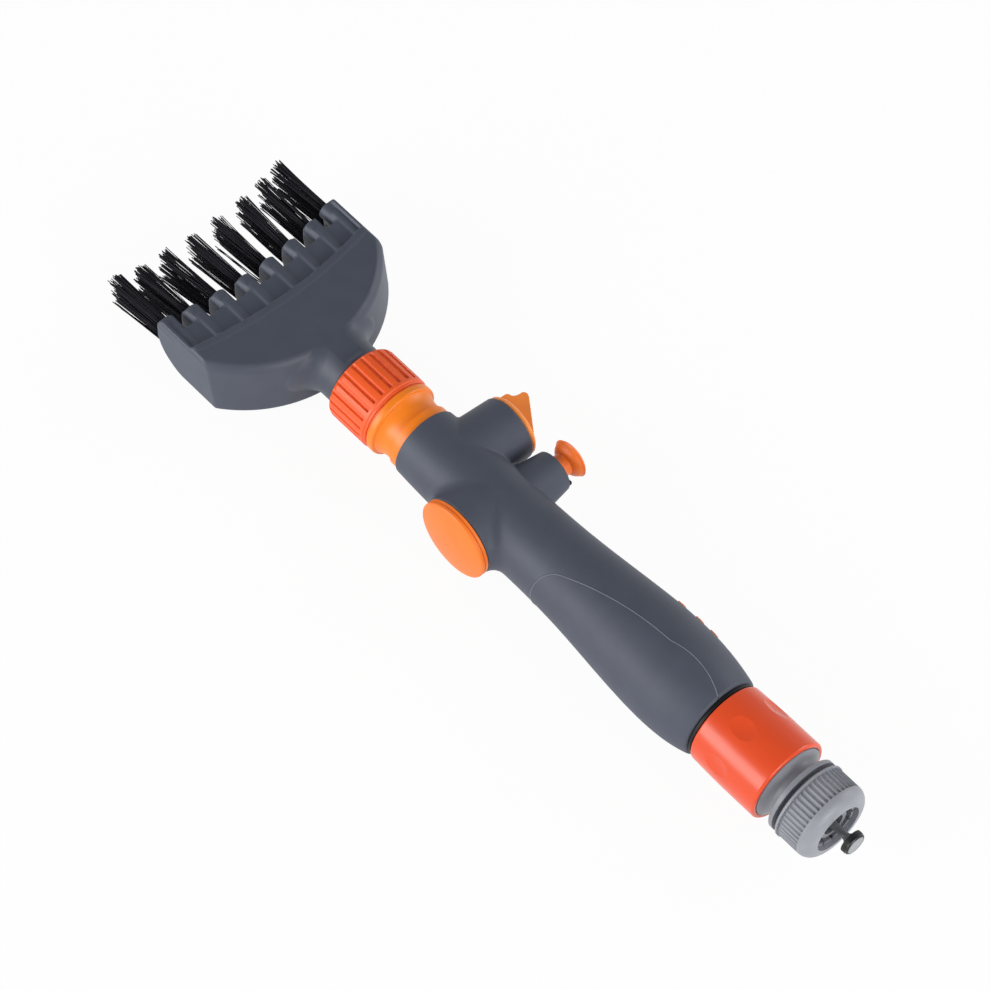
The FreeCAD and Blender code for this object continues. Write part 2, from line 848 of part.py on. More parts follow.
def make_fan():
    """The fan: a turned dish with a leaning wall and a soft brim, cut to the head's sides."""
    dish = new_body("fan_dish")
    centre_x = head_end_x - size("head_arc")
    reach = size("head_arc")
    lean = size("head_lean")
    brim = size("head_brim")
    foot = size("head_foot")
    top = size("head_top")
    bottom = -size("head_bottom")
    section = new_sketch(dish, "XZ_Plane", "dish_section")
    outline(section, [
        (centre_x, bottom),
        (centre_x + reach - foot, bottom),
        (centre_x + reach, bottom + foot, foot),
        (centre_x + reach - lean, top - brim),
        (centre_x + reach - lean - brim, top, brim),
        (centre_x, top),
    ])
    middle = number(centre_x)
    axis = section.addGeometry(
        Part.LineSegment(FreeCAD.Vector(middle, -1, 0), FreeCAD.Vector(middle, 1, 0)), True
    )
    pin_point(section, axis, 1, centre_x, -1)
    pin_point(section, axis, 2, centre_x, 1)
    turned = dish.newObject("PartDesign::Revolution", "dish_sweep")
    turned.Profile = (section, [""])
    turned.ReferenceAxis = (section, ["Axis0"])
    turned.Angle = 360
    sided = combined("MultiCommon", "sided_dish", [dish, head_block("fan_block")])
    height = size("head_top") + size("head_bottom")
    front = solid("Cylinder", "fan_front", (arc_centre_x, 0, -height), "z",
                  Radius=size("comb_arc"), Height=2 * height)
    return less("fan", sided, front)


def make_neck_flare():
    """The flare from the fan into its round neck: ellipses whose ends follow a hollow arc."""
    hollow = size("neck_flare")
    side = size("head_neck_radius") - size("seat_gap") + hollow
    reach = size("head_arc") + hollow
    hollow_x = head_end_x - size("head_arc") + root(reach * reach - side * side)
    rings = [(hollow_x - hollow - 5, side)]
    for angle in (75, 60, 40, 20, 0):
        rings.append((hollow_x - hollow * sine(angle), side - hollow * cosine(angle)))
    sections = []
    for place, (x, half_width) in enumerate(rings):
        ellipse = document.addObject("Part::Ellipse", f"flare_ring_{place}")
        ellipse.Placement = FreeCAD.Placement(FreeCAD.Vector(), TOWARD["wide x"])
        bind(ellipse, "Placement.Base.x", x)
        bind(ellipse, "MajorRadius", half_width)
        bind(ellipse, "MinorRadius", size("head_top"))
        sections.append(ellipse)
    loft = document.addObject("Part::Loft", "neck_flare")
    loft.Sections = sections
    loft.Solid = True
    return loft


def make_neck():
    """The round neck that the union nut turns on."""
    body = new_body("neck")
    turn(body, "neck_turned", [
        (head_end_x - 14, 0),
        (head_end_x - 14, size("head_neck_radius") - 0.4),
        (head_end_x, size("head_neck_radius")),
        (neck_groove_x, size("head_neck_radius")),
        (neck_groove_x, size("neck_groove_radius")),
        (neck_flange_x, size("neck_groove_radius")),
        (neck_flange_x, thread_outer),
        (seal_front_x, thread_outer),
        (seal_front_x, 0),
    ])
    return body


def make_head_rooms():
    """The water room inside the fan and the bore of the neck."""
    body = new_body("head_room")
    wall = size("head_wall")
    centre_x = head_end_x - size("head_arc")
    front_x = arc_x(bead_x, size("head_half_width"))
    inner = size("head_half_width") - wall
    inner_arc = size("head_arc") - wall - size("head_lean") - 1
    inner_end_x = centre_x + inner_arc
    inner_corner_x = centre_x + root(inner_arc * inner_arc - inner * inner)
    plan = new_sketch(body, "XY_Plane", "room_plan", wall - size("head_bottom"))
    outline(plan, [
        (front_x - 1, -inner),
        (inner_corner_x, -inner),
        (inner_end_x, 0, inner_arc),
        (inner_corner_x, inner, inner_arc),
        (front_x - 1, inner),
    ])
    extrude(body, "water_room", plan, size("head_top") + size("head_bottom") - 2 * wall)
    bore = solid("Cylinder", "neck_bore", (inner_end_x - 3, 0, 0), "x",
                 Radius=size("water_bore"), Height=seal_front_x - inner_end_x + 4)
    return [body, bore]


def make_head_housing():
    """The hollow fan that spreads the water from the neck to the comb."""
    outside = combined("MultiFuse", "head_outside", [make_fan(), make_neck_flare(), make_neck()])
    rooms = combined("MultiFuse", "head_rooms", make_head_rooms())
    return less("head_housing", outside, rooms)


def tooth_places():
    """The y of each tooth's middle, with the end teeth drawn in beside their plates."""
    count = SIZES["tooth_count"]
    places = [(place - (count - 1) / 2) * size("tooth_pitch") for place in range(count)]
    places[0] = size("end_tuft_inset") - size("head_half_width")
    places[-1] = size("head_half_width") - size("end_tuft_inset")
    return places


def slot_places():
    """The y of each slot's middle."""
    count = SIZES["tooth_count"] - 1
    return [(place - (count - 1) / 2) * size("tooth_pitch") for place in range(count)]


def make_comb_blank():
    """The comb before it is slotted: a profile turned about the far axis, with its end plates."""
    body = new_body("comb_blank")
    half = size("head_half_width")
    bend = size("chin_bend")
    drop = size("chin_height") + size("head_bottom")
    reach = size("comb_depth") - 0.5
    share = (1 - cosine(bend)) * (1 - sine(bend)) - cosine(bend) * sine(bend)
    chin = (reach * (1 - sine(bend)) - drop * cosine(bend)) / share
    under = (drop * (1 - cosine(bend)) - reach * sine(bend)) / share
    bend_x = nose_x + chin - chin * cosine(bend)
    bend_z = size("chin_height") - chin * sine(bend)
    flat_x = bend_x + under * cosine(bend)
    brow = size("nose_brow")
    section = new_sketch(body, "XZ_Plane", "comb_section")
    outline(section, [
        (bead_x, -size("head_bottom")),
        (bead_x, size("nose_top")),
        (nose_x + brow, size("nose_top")),
        (nose_x, size("nose_top") - brow, brow),
        (nose_x, size("chin_height")),
        (bend_x, bend_z, chin),
        (flat_x, -size("head_bottom"), under),
    ])
    middle = number(arc_centre_x)
    axis = section.addGeometry(
        Part.LineSegment(FreeCAD.Vector(middle, -1, 0), FreeCAD.Vector(middle, 1, 0)), True
    )
    pin_point(section, axis, 1, arc_centre_x, -1)
    pin_point(section, axis, 2, arc_centre_x, 1)
    blank = body.newObject("PartDesign::Revolution", "comb_sweep")
    blank.Profile = (section, [""])
    blank.ReferenceAxis = (section, ["Axis0"])
    blank.Angle = 40
    blank.Midplane = True
    height = size("head_top") + size("head_bottom") + 10
    sides = new_sketch(body, "XY_Plane", "comb_sides")
    for side in (-1, 1):
        rectangle(sides, nose_x - 40, bead_x + 10, side * half, side * (half + 40))
    extrude(body, "comb_trim", sides, 2 * height, cut=True, both=True)
    plate_front_x = arc_x(nose_x, half) + 1
    plate_top = size("rib_top") + size("end_plate_rise")
    nose = size("plate_nose")
    for place, side in enumerate((1, -1)):
        plates = new_sketch(body, "XZ_Plane", f"plate_outline_{place}",
                            half if side == 1 else size("end_plate_width") - half)
        outline(plates, [
            (plate_front_x, 0),
            (arc_x(bead_x, half), 0),
            (arc_x(bead_x, half), plate_top),
            (plate_front_x + nose, plate_top),
            (plate_front_x, plate_top - nose, nose),
        ])
        extrude(body, f"end_plate_{place}", plates, size("end_plate_width"), backward=True)
    return body


def boxes(name, spans):
    """Blocks between their low and high corners."""
    blocks = []
    for place, (low, high) in enumerate(spans):
        length, width, height = (end - start for start, end in zip(low, high))
        blocks.append(solid("Box", f"{name}_{place}", low, Length=length, Width=width, Height=height))
    return blocks


def make_arches():
    """What turns the top of each tooth into an arch: a block with a barrel taken out of it."""
    half = (size("tooth_pitch") - size("slot_width")) / 2
    arch = size("nose_arch")
    plate_y = size("head_half_width") - size("end_plate_width")
    last_y = slot_places()[-1] + size("slot_width") / 2
    level = size("nose_top") - arch
    arches = []
    for place, y in enumerate(tooth_places()):
        low, high = y - half - 0.5, y + half + 0.5
        if place == 0:
            low, high = -plate_y, 0.5 - last_y
        if place == SIZES["tooth_count"] - 1:
            low, high = last_y - 0.5, plate_y
        front_x = arc_x(nose_x, y) - 10
        length = 10 + size("slot_depth") - 0.6
        block = solid("Box", f"arch_block_{place}", (front_x, low, level),
                      Length=length, Width=high - low, Height=arch + 5)
        barrel = solid("Cylinder", f"arch_barrel_{place}", (front_x - 1, y, level), "x",
                       Radius=arch, Height=length + 2)
        arches.append(less(f"arch_{place}", block, barrel))
    return arches


def make_comb():
    """The comb: slots between the teeth, flat pads behind them, a rib on each tooth, and bores."""
    half_pad = (size("tooth_pitch") - size("comb_rib_width")) / 2
    half_slot = size("slot_width") / 2
    half_rib = size("comb_rib_width") / 2
    nose_top = size("nose_top")
    slots = []
    pads = []
    ribs = []
    bores = []
    for y in slot_places():
        slot_end_x = arc_x(nose_x, y) + size("slot_depth")
        slots.append(((slot_end_x - 30, y - half_slot, -30), (slot_end_x, y + half_slot, 30)))
        pads.append(((slot_end_x - 0.6, y - half_pad, size("pad_top")),
                     (bead_x + 3, y + half_pad, nose_top + 5)))
        bores.append(solid("Cylinder", "jet_bore", (slot_end_x - 5, y, 1.0), "x",
                           Radius=size("jet_radius"), Height=30))
    for y in tooth_places()[1:-1]:
        ribs.append(((arc_x(nose_x, y) + size("rib_start"), y - half_rib, size("pad_top") - 1),
                     (arc_x(bead_x, y + half_rib), y + half_rib, size("rib_top"))))
    slot_group = combined("Compound", "comb_slots", boxes("comb_slot", slots))
    pad_group = combined("Compound", "comb_pads", boxes("comb_pad", pads))
    sided = combined("MultiCommon", "sided_comb", [make_comb_blank(), head_block("comb_block")])
    padded = less("padded_comb", less("slotted_comb", sided, slot_group), pad_group)
    arched = less("arched_comb", padded, combined("Compound", "comb_arches", make_arches()))
    ribbed = combined("MultiFuse", "ribbed_comb", [arched, *boxes("comb_rib", ribs)])
    for y in tooth_places():
        for level in ("tuft_upper", "tuft_middle", "tuft_lower"):
            bores.append(solid("Cylinder", "tuft_bore", (tuft_end_x, y, size(level)), "-x",
                               Radius=size("tuft_root_radius"), Height=30))
    return less("comb", ribbed, combined("Compound", "comb_bores", bores))


tuft_end_x = nose_x + size("tuft_socket")
head_housing = make_head_housing()
comb = make_comb()


def make_tufts(label, height, rise):
    """One row of tufts: a bound root in its socket and a spreading brush ahead of it."""
    tufts = []
    for place, y in enumerate(tooth_places()):
        face_x = arc_x(nose_x, y) - 0.6
        rings = [
            (tuft_end_x, height, size("tuft_root_radius")),
            (face_x, height, size("tuft_root_radius")),
            (face_x - size("tuft_length"), height + rise, size("tuft_tip_radius")),
        ]
        sections = []
        for step, (x, z, radius) in enumerate(rings):
            sections.append(
                solid("Circle", f"{label}_ring_{place}_{step}", (x, y, z), "x", Radius=radius)
            )
        loft = document.addObject("Part::Loft", f"{label}_{place}")
        loft.Sections = sections
        loft.Solid = True
        loft.Ruled = True
        tufts.append(loft)
    return combined("Compound", label, tufts)


tufts_upper = make_tufts("tufts_upper", size("tuft_upper"), 2.6)
tufts_middle = make_tufts("tufts_middle", size("tuft_middle"), 0.2)
tufts_lower = make_tufts("tufts_lower", size("tuft_lower"), -2.0)

# tap: a bored plug that a quarter turn opens, and its wave-shaped knob
knob_low = size("tap_chimney_height") + size("running_gap")
plug_top = tap_barrel_top - 0.4
stem_top = knob_low + size("knob_plate") - 0.6
plug_ring_radius = plug_bore - size("running_gap") / 2


def make_tap_plug():
    body = new_body("tap_plug")
    radius = size("plug_radius")
    cord = size("ring_cord")
    points = [(tap_x, -size("plug_depth")), (tap_x + radius, -size("plug_depth"))]
    for middle in plug_ring_places():
        points += ring_groove(tap_x, radius, plug_ring_radius, middle, cord)
    points += [
        (tap_x + radius, plug_top),
        (tap_x + size("plug_stem_radius"), plug_top),
        (tap_x + size("plug_stem_radius"), stem_top),
        (tap_x, stem_top),
    ]
    turn(body, "plug_turned", points, tap_x)
    turn(body, "plug_port", [
        (tap_x - radius - 2, 0),
        (tap_x + radius + 2, 0),
        (tap_x + radius + 2, size("water_bore")),
        (tap_x - radius - 2, size("water_bore")),
    ], cut=True)
    return body


def plug_ring_places():
    """The y of the two seal rings on the tap plug."""
    return [size("water_bore") + 4.0, plug_top - 4.0]


def make_tap_rings():
    rings = [
        ring(f"tap_ring_{place}", (tap_x, y, 0), "y", plug_ring_radius, size("ring_cord"))
        for place, y in enumerate(plug_ring_places())
    ]
    return combined("Compound", "tap_rings", rings)


def make_tap_retainer():
    """The ring that holds the plug down in the mouth of its chimney."""
    body = new_body("tap_retainer")
    inner = size("plug_stem_radius") + size("free_gap")
    low = tap_barrel_top + size("running_gap")
    turn(body, "retainer_turned", [
        (tap_x + inner, low),
        (tap_x + tap_barrel_radius, low),
        (tap_x + tap_barrel_radius, size("tap_chimney_height") - 0.3),
        (tap_x + inner, size("tap_chimney_height") - 0.3),
    ], tap_x)
    return body


def make_tap_knob():
    """The knob: a round plate with a wave-shaped wing that rises to a peak at the front."""
    body = new_body("tap_knob")
    plate_top = knob_low + size("knob_plate")
    peak = size("tap_chimney_height") + size("knob_rise")
    radius = size("knob_radius")
    turn(body, "knob_plate", [
        (tap_x, knob_low),
        (tap_x + radius - 0.5, knob_low),
        (tap_x + radius, knob_low + 0.5),
        (tap_x + radius, plate_top - 0.9),
        (tap_x + radius - 0.9, plate_top),
        (tap_x, plate_top),
    ], tap_x)
    wing = new_sketch(body, "XY_Plane", "wing_outline")
    outline(wing, [
        (tap_x - radius + 1.6, plate_top - 0.6),
        (tap_x + radius - 1.2, plate_top - 0.6),
        (tap_x - 4.6, peak - 0.3),
        (tap_x - 7.4, peak - 1.3, 1.8),
        (tap_x - 8.0, peak - 4.2, -6.0),
        (tap_x - 9.3, peak - 5.3, -2.6),
        (tap_x - 10.9, peak - 7.2, 1.7),
    ])
    extrude(body, "wing", wing, size("knob_thickness"), both=True)
    turn(body, "knob_socket", disc_profile(
        tap_x, size("plug_stem_radius"), knob_low - 1, stem_top), tap_x, cut=True)
    return body


tap_plug = make_tap_plug()
tap_rings = make_tap_rings()
tap_retainer = make_tap_retainer()
tap_knob = make_tap_knob()

# push button, its spindle, spring and seals
button_foot = size("button_seat") + 8.5
spindle_top = button_foot + 7
dosing_top = -size("chamber_roof") - size("line_gap")
spindle_ring_y = size("button_seat") - 2.4
spindle_ring_cord = size("ring_cord") * 0.6
spindle_ring_radius = spindle_bore - size("running_gap") / 2


def make_push_button():
    body = new_body("push_button")
    stem = size("button_stem_radius")
    head = size("button_head_radius")
    reach = size("button_reach")
    crown = size("button_crown")
    crown_radius = head - 0.8
    bulge = (crown_radius * crown_radius / crown + crown) / 2
    turn(body, "button_turned", [
        (button_x, button_foot),
        (button_x + stem, button_foot),
        (button_x + stem, reach - 4.8),
        (button_x + head - 0.6, reach - crown - 1.5, 5.2),
        (button_x + head, reach - crown - 0.8),
        (button_x + crown_radius, reach - crown),
        (button_x, reach, bulge),
    ], button_x)
    turn(body, "button_socket",
         disc_profile(button_x, size("spindle_radius"), button_foot, spindle_top),
         button_x, cut=True)
    return body


def make_button_spindle():
    body = new_body("button_spindle")
    radius = size("spindle_radius")
    turn(body, "spindle_turned", [
        (button_x, dosing_top - size("dosing_width") - 0.8),
        (button_x + radius - 0.6, dosing_top - size("dosing_width") - 0.8),
        (button_x + radius - 0.6, dosing_top),
        (button_x + radius, dosing_top),
        *ring_groove(button_x, radius, spindle_ring_radius, spindle_ring_y, spindle_ring_cord),
        (button_x + radius, spindle_top),
        (button_x, spindle_top),
    ], button_x)
    return body


def upright_tube(label, about, low, high, inner, outer):
    """A plain tube beside an upright axis across the wand."""
    body = new_body(label)
    turn(body, f"{label}_wall", [
        (about + inner, low), (about + outer, low), (about + outer, high), (about + inner, high),
    ], about)
    return body


def make_button_gland():
    """The ring in the mouth of the button's chimney, with a small nib over its rim."""
    low = button_barrel_top + size("running_gap")
    collar = upright_tube("gland_collar", button_x, low, size("button_chimney_height"),
                          button_bore, size("button_barrel_radius"))
    top = size("button_chimney_height")
    start_x = button_x + size("button_barrel_radius") - size("nib_width") / 2
    half = size("nib_width") / 2
    nib = solid("Box", "gland_nib", (start_x, top + size("seat_gap"), -half),
                Length=2.9, Width=size("nib_height"), Height=size("nib_width"))
    foot = solid("Box", "gland_nib_foot", (start_x, top - 0.4, -half),
                 Length=half - 0.2, Width=size("nib_height"), Height=size("nib_width"))
    return combined("MultiFuse", "button_gland", [collar, nib, foot])


push_button = make_push_button()
button_spindle = make_button_spindle()
button_gland = make_button_gland()
button_spring = upright_tube("button_spring", button_x, size("button_seat") + 0.1,
                             button_foot - 0.1, size("spindle_radius") + 0.6,
                             size("spindle_radius") + 0.6 + size("spring_wall"))
spindle_ring = ring("spindle_ring", (button_x, spindle_ring_y, 0), "y",
                    spindle_ring_radius, spindle_ring_cord)
dosing_seal = upright_tube("dosing_seal", button_x, dosing_top - size("dosing_width"), dosing_top,
                           size("spindle_radius") - 0.6, size("dosing_radius"))

# lid of the soap chamber, with its seal ring on the spigot
lid_top = -size("boss_height") - size("free_gap")
lid_face = lid_top - size("lid_rim_width")
spigot_radius = size("chamber_radius") - size("free_gap")
lid_ring_y = lid_top + size("spigot_length") / 2
lid_ring_radius = size("chamber_radius") - size("running_gap") / 2


def make_lid():
    body = new_body("lid")
    radius = size("lid_radius")
    step = lid_top - size("lid_rim_width") * 0.4
    crown_radius = radius - 0.9
    bulge = (crown_radius * crown_radius / size("lid_crown") + size("lid_crown")) / 2
    turn(body, "lid_turned", [
        (lid_x, lid_face - size("lid_crown")),
        (lid_x + crown_radius, lid_face, bulge),
        (lid_x + radius, lid_face + 0.8, 1.1),
        (lid_x + radius, step - 0.3),
        (lid_x + radius - 0.5, step - 0.3),
        (lid_x + radius - 0.5, step),
        (lid_x + radius, step),
        (lid_x + radius, lid_top),
        (lid_x + spigot_radius, lid_top),
        *ring_groove(lid_x, spigot_radius, lid_ring_radius, lid_ring_y, size("ring_cord")),
        (lid_x + spigot_radius, lid_top + size("spigot_length")),
        (lid_x + spigot_radius - size("lid_wall"), lid_top + size("spigot_length")),
        (lid_x + spigot_radius - size("lid_wall"), lid_face + size("lid_wall") - 0.6),
        (lid_x, lid_face + size("lid_wall") - 0.6),
    ], lid_x)
    return body


lid = make_lid()
lid_ring = ring("lid_ring", (lid_x, lid_ring_y, 0), "y", lid_ring_radius, size("ring_cord"))

# quick connector
stub_outer = size("nut_radius") - size("nut_wall") - size("free_gap")
stub_inner = stub_outer - size("stub_wall")
stub_front_x = -size("barb_length")
body_front_x = sleeve_front_x + 0.5
shoulder_front_x = sleeve_rear_x - size("shoulder_width")
shoulder_radius = size("sleeve_radius") - size("sleeve_wall") - size("free_gap")
socket_outer = socket_bore + size("socket_wall")
guide_seat_x = sleeve_rear_x
stem_bore = size("stem_radius") + size("running_gap")
claw_slots_x = (claw_x - size("free_gap"), claw_x + size("claw_length") + size("free_gap"))


def make_connector_body():
    body = new_body("connector_body")
    turn(body, "connector_turned", [
        (body_front_x, socket_bore),
        (body_front_x, socket_outer),
        (shoulder_front_x, socket_outer),
        (shoulder_front_x, shoulder_radius),
        (sleeve_rear_x + 0.3, shoulder_radius),
        (sleeve_rear_x + 3.4, size("neck_radius"), 4.6),
        (flange_front_x, size("neck_radius") - 0.2),
        (flange_front_x, size("flange_radius") - 0.4),
        (flange_front_x + 0.4, size("flange_radius")),
        (flange_rear_x, size("flange_radius")),
        (flange_rear_x, stub_outer),
        (flange_rear_x + 10.5, stub_outer),
        (flange_rear_x + 10.5, stub_inner),
        (stub_front_x, stub_inner),
        (stub_front_x, size("barb_radius")),
        (0, size("barb_radius")),
        (0, size("barb_bore")),
        (guide_seat_x, size("barb_bore")),
        (guide_seat_x, socket_bore),
    ])
    window = new_sketch(body, "XY_Plane", "claw_window")
    half = size("claw_width") / 2 + size("free_gap")
    rectangle(window, claw_slots_x[0], claw_slots_x[1], -half, half)
    cut = extrude(body, "claw_window_cut", window, socket_outer + 2, cut=True, backward=True)
    around(body, "claw_windows", cut, 4)
    return body


def make_claw(place, toward):
    """One of the four claws that hold the nipple's groove."""
    low = size("nipple_radius") - 0.4
    half = size("claw_width") / 2
    axis = toward[-1]
    base = {"x": claw_x, "y": -half, "z": -half}
    base[axis] = low if toward == axis else -low - size("claw_height")
    widths = {"y": size("claw_width"), "z": size("claw_width")}
    widths[axis] = size("claw_height")
    return solid("Box", f"claw_{place}", (base["x"], base["y"], base["z"]),
                 Length=size("claw_length"), Width=widths["y"], Height=widths["z"])


connector_body = make_connector_body()
claws = [make_claw(place, toward) for place, toward in enumerate(("y", "z", "-y", "-z"), start=1)]


rib_x = claw_x + size("claw_length") - size("rib_overlap")
rib_rear_x = rib_x + size("rib_width")


def make_release_sleeve():
    """The sliding sleeve: a barrel with a ring of finger dimples and a rib over the claws."""
    body = new_body("release_sleeve")
    radius = size("sleeve_radius")
    front = size("sleeve_front_radius")
    bore = radius - size("sleeve_wall")
    middle_x = sleeve_front_x + size("sleeve_length") / 2
    turn(body, "sleeve_turned", [
        (sleeve_front_x, bore - 0.6),
        (sleeve_front_x, front - 1.0),
        (sleeve_front_x + 1.0, front, -1.0),
        (middle_x, radius, -500.0),
        (sleeve_rear_x - 1.0, radius),
        (sleeve_rear_x, radius - 1.0, -1.0),
        (sleeve_rear_x, bore),
        (rib_rear_x, bore),
        (rib_rear_x, size("rib_inner_radius")),
        (rib_x, size("rib_inner_radius")),
        (rib_x, bore - 0.6),
    ])
    dimple = new_sketch(body, "XY_Plane", "dimple_section")
    depth = size("dimple_depth")
    wide = size("dimple_radius")
    ball = (wide * wide / depth + depth) / 2
    dimple_x = sleeve_front_x + size("dimple_place")
    dimple.AttachmentOffset = FreeCAD.Placement(FreeCAD.Vector(), TOWARD["round x"])
    bind(dimple, "AttachmentOffset.Rotation.Angle", size("dimple_turn"))
    outline(dimple, [
        (dimple_x, radius - depth),
        (dimple_x + wide, radius, ball),
        (dimple_x + wide, radius + 2),
        (dimple_x, radius + 2),
    ])
    line = Part.LineSegment(
        FreeCAD.Vector(number(dimple_x), -1, 0), FreeCAD.Vector(number(dimple_x), 1, 0)
    )
    index = dimple.addGeometry(line, True)
    pin_point(dimple, index, 1, dimple_x, -1)
    pin_point(dimple, index, 2, dimple_x, 1)
    cut = body.newObject("PartDesign::Groove", "dimple")
    cut.Profile = (dimple, [""])
    cut.ReferenceAxis = (dimple, ["Axis0"])
    cut.Angle = 360
    around(body, "dimples", cut, size("dimple_count"))
    return body


release_sleeve = make_release_sleeve()
spring_outer = shoulder_radius - 0.3
sleeve_spring = tube("sleeve_spring", rib_rear_x + 0.1, shoulder_front_x - 0.1,
                     spring_outer - size("spring_wall"), spring_outer)

guide_x = guide_seat_x - size("guide_width")


def make_poppet_guide():
    """The pierced plate that guides the poppet's stem."""
    body = new_body("poppet_guide")
    plate = new_sketch(body, "YZ_Plane", "guide_plan", guide_x)
    circle(plate, 0, 0, socket_bore - size("seat_gap"))
    circle(plate, 0, 0, stem_bore)
    extrude(body, "guide_plate", plate, size("guide_width"))
    port = new_sketch(body, "YZ_Plane", "guide_port", guide_x - 1)
    circle(port, (size("barb_bore") + size("stem_radius")) / 2, 0, 1.0)
    cut = extrude(body, "guide_port_cut", port, size("guide_width") + 2, cut=True, backward=True)
    around(body, "guide_ports", cut, 6)
    return body


foot_x = nipple_tip_x + 1.2
seal_x = size("poppet_reach") - 1.3 - size("poppet_seal_width")


def make_poppet_stem():
    body = new_body("poppet_stem")
    stem = size("stem_radius")
    turn(body, "stem_turned", [
        (foot_x, 0),
        (foot_x, size("poppet_foot_radius")),
        (foot_x + 1.5, size("poppet_foot_radius")),
        (foot_x + 1.5, stem),
        (seal_x - 2.2, stem),
        (seal_x - 0.1, size("poppet_radius") - 0.9, 3.4),
        (seal_x, size("poppet_radius") - 0.9),
        (seal_x, stem),
        (seal_x + size("poppet_seal_width") + 0.6, stem),
        (seal_x + size("poppet_seal_width") + 0.6, 0),
    ])
    return body


def make_poppet_cap():
    body = new_body("poppet_cap")
    low = seal_x + size("poppet_seal_width")
    reach = size("poppet_reach")
    stem = size("stem_radius")
    radius = size("poppet_radius") - 0.2
    turn(body, "cap_turned", [
        (low, stem),
        (low, radius),
        (reach - 0.5, radius),
        (reach, radius - 0.5),
        (reach, 0),
        (low + 0.6, 0),
        (low + 0.6, stem),
    ])
    return body


poppet_guide = make_poppet_guide()
poppet_stem = make_poppet_stem()
poppet_cap = make_poppet_cap()
poppet_seal = tube("poppet_seal", seal_x, seal_x + size("poppet_seal_width"),
                   size("stem_radius"), size("poppet_radius"))
poppet_spring = tube("poppet_spring", foot_x + 1.6, guide_x - 0.1,
                     size("stem_radius") + 0.5, size("stem_radius") + 0.5 + size("spring_wall"))

# hose nut and the slit collet that grips the hose
nut_mouth = size("nut_mouth_radius")
nut_bore = stub_outer + size("free_gap")
lip_start_x = nut_lip_x - size("nut_lip_length")


def make_hose_nut():
    body = new_body("hose_nut")
    radius = size("nut_radius")
    rim = radius + size("nut_rim_height")
    turn(body, "nut_turned", [
        (nut_rim_x, nut_bore),
        (nut_rim_x, rim - 0.3),
        (nut_rim_x + 0.3, rim),
        (nut_rim_x + size("nut_rim_width"), rim),
        (nut_rim_x + size("nut_rim_width"), radius),
        (lip_start_x, radius),
        (nut_lip_x, radius - size("nut_lip_length"), -size("nut_lip_length")),
        (nut_lip_x, nut_mouth),
        (nut_lip_x - 2.5, nut_mouth),
        (flange_rear_x + 11.5, nut_bore),
    ])
    rib = new_sketch(body, "YZ_Plane", "nut_flute_section", nut_rim_x + size("nut_rim_width"))
    circle(rib, 0, radius - size("nut_rib_depth") + 1.0, 1.0)
    cut = extrude(body, "nut_flute",
                  rib, size("nut_length") - size("nut_lip_length") - size("nut_rim_width"),
                  cut=True, backward=True)
    around(body, "nut_flutes", cut, size("nut_rib_count"))
    return body


def make_collet():
    body = new_body("hose_collet")
    outer = stub_inner - size("seat_gap")
    mouth = nut_mouth - size("free_gap")
    wall = size("collet_wall")
    start = stub_front_x + size("seat_gap")
    turn(body, "collet_turned", [
        (start, mouth - wall),
        (start, outer),
        (flange_rear_x + 10.0, outer),
        (flange_rear_x + 12.5, mouth),
        (nut_lip_x - 2.0, mouth),
        (nut_lip_x - 2.0, mouth - wall),
    ])
    slit = new_sketch(body, "XY_Plane", "collet_slit")
    half = size("slit_width") / 2
    rectangle(slit, start + 2.5, nut_lip_x + 1, -half, half)
    cut = extrude(body, "slit_cut", slit, outer + 3, cut=True, backward=True)
    around(body, "slits", cut, size("collet_slits"))
    return body


hose_nut = make_hose_nut()
hose_collet = make_collet()

NODES = [
    head_housing, comb, tufts_upper, tufts_middle, tufts_lower, union_seal,
    union_nut,
    core_tube, handle_shell, grip_cover, grip_inlays, nipple, nipple_ring, tap_retainer,
    button_gland,
    tap_plug, tap_rings, tap_knob,
    push_button, button_spindle, spindle_ring, dosing_seal, button_spring,
    lid, lid_ring,
    connector_body, poppet_guide, hose_collet, sleeve_spring,
    *claws,
    release_sleeve,
    hose_nut,
    poppet_stem, poppet_cap, poppet_seal, poppet_spring,
]

document.recompute()
for item in document.Objects:
    if "Invalid" in item.State or "Error" in item.State:
        raise RuntimeError(f"{item.Label} was not made")
for node in NODES:
    if node.Shape.isNull() or not node.Shape.isValid():
        raise RuntimeError(f"{node.Label} has no sound shape")
os.makedirs("parts", exist_ok=True)
for node in NODES:
    node.Shape.exportStep(f"parts/{node.Label}.step")
    box = node.Shape.BoundBox
    print(f"{node.Label}: {len(node.Shape.Solids)} solids, {node.Shape.Volume:.0f} mm3, "
          f"x {box.XMin:.1f} to {box.XMax:.1f}")
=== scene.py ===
"""Looks of the hand-held wash wand: bristles, moulded plastic, soft-touch grip and studio light."""
import json
import math
import random

import bmesh
import bpy
from mathutils import Matrix, Vector


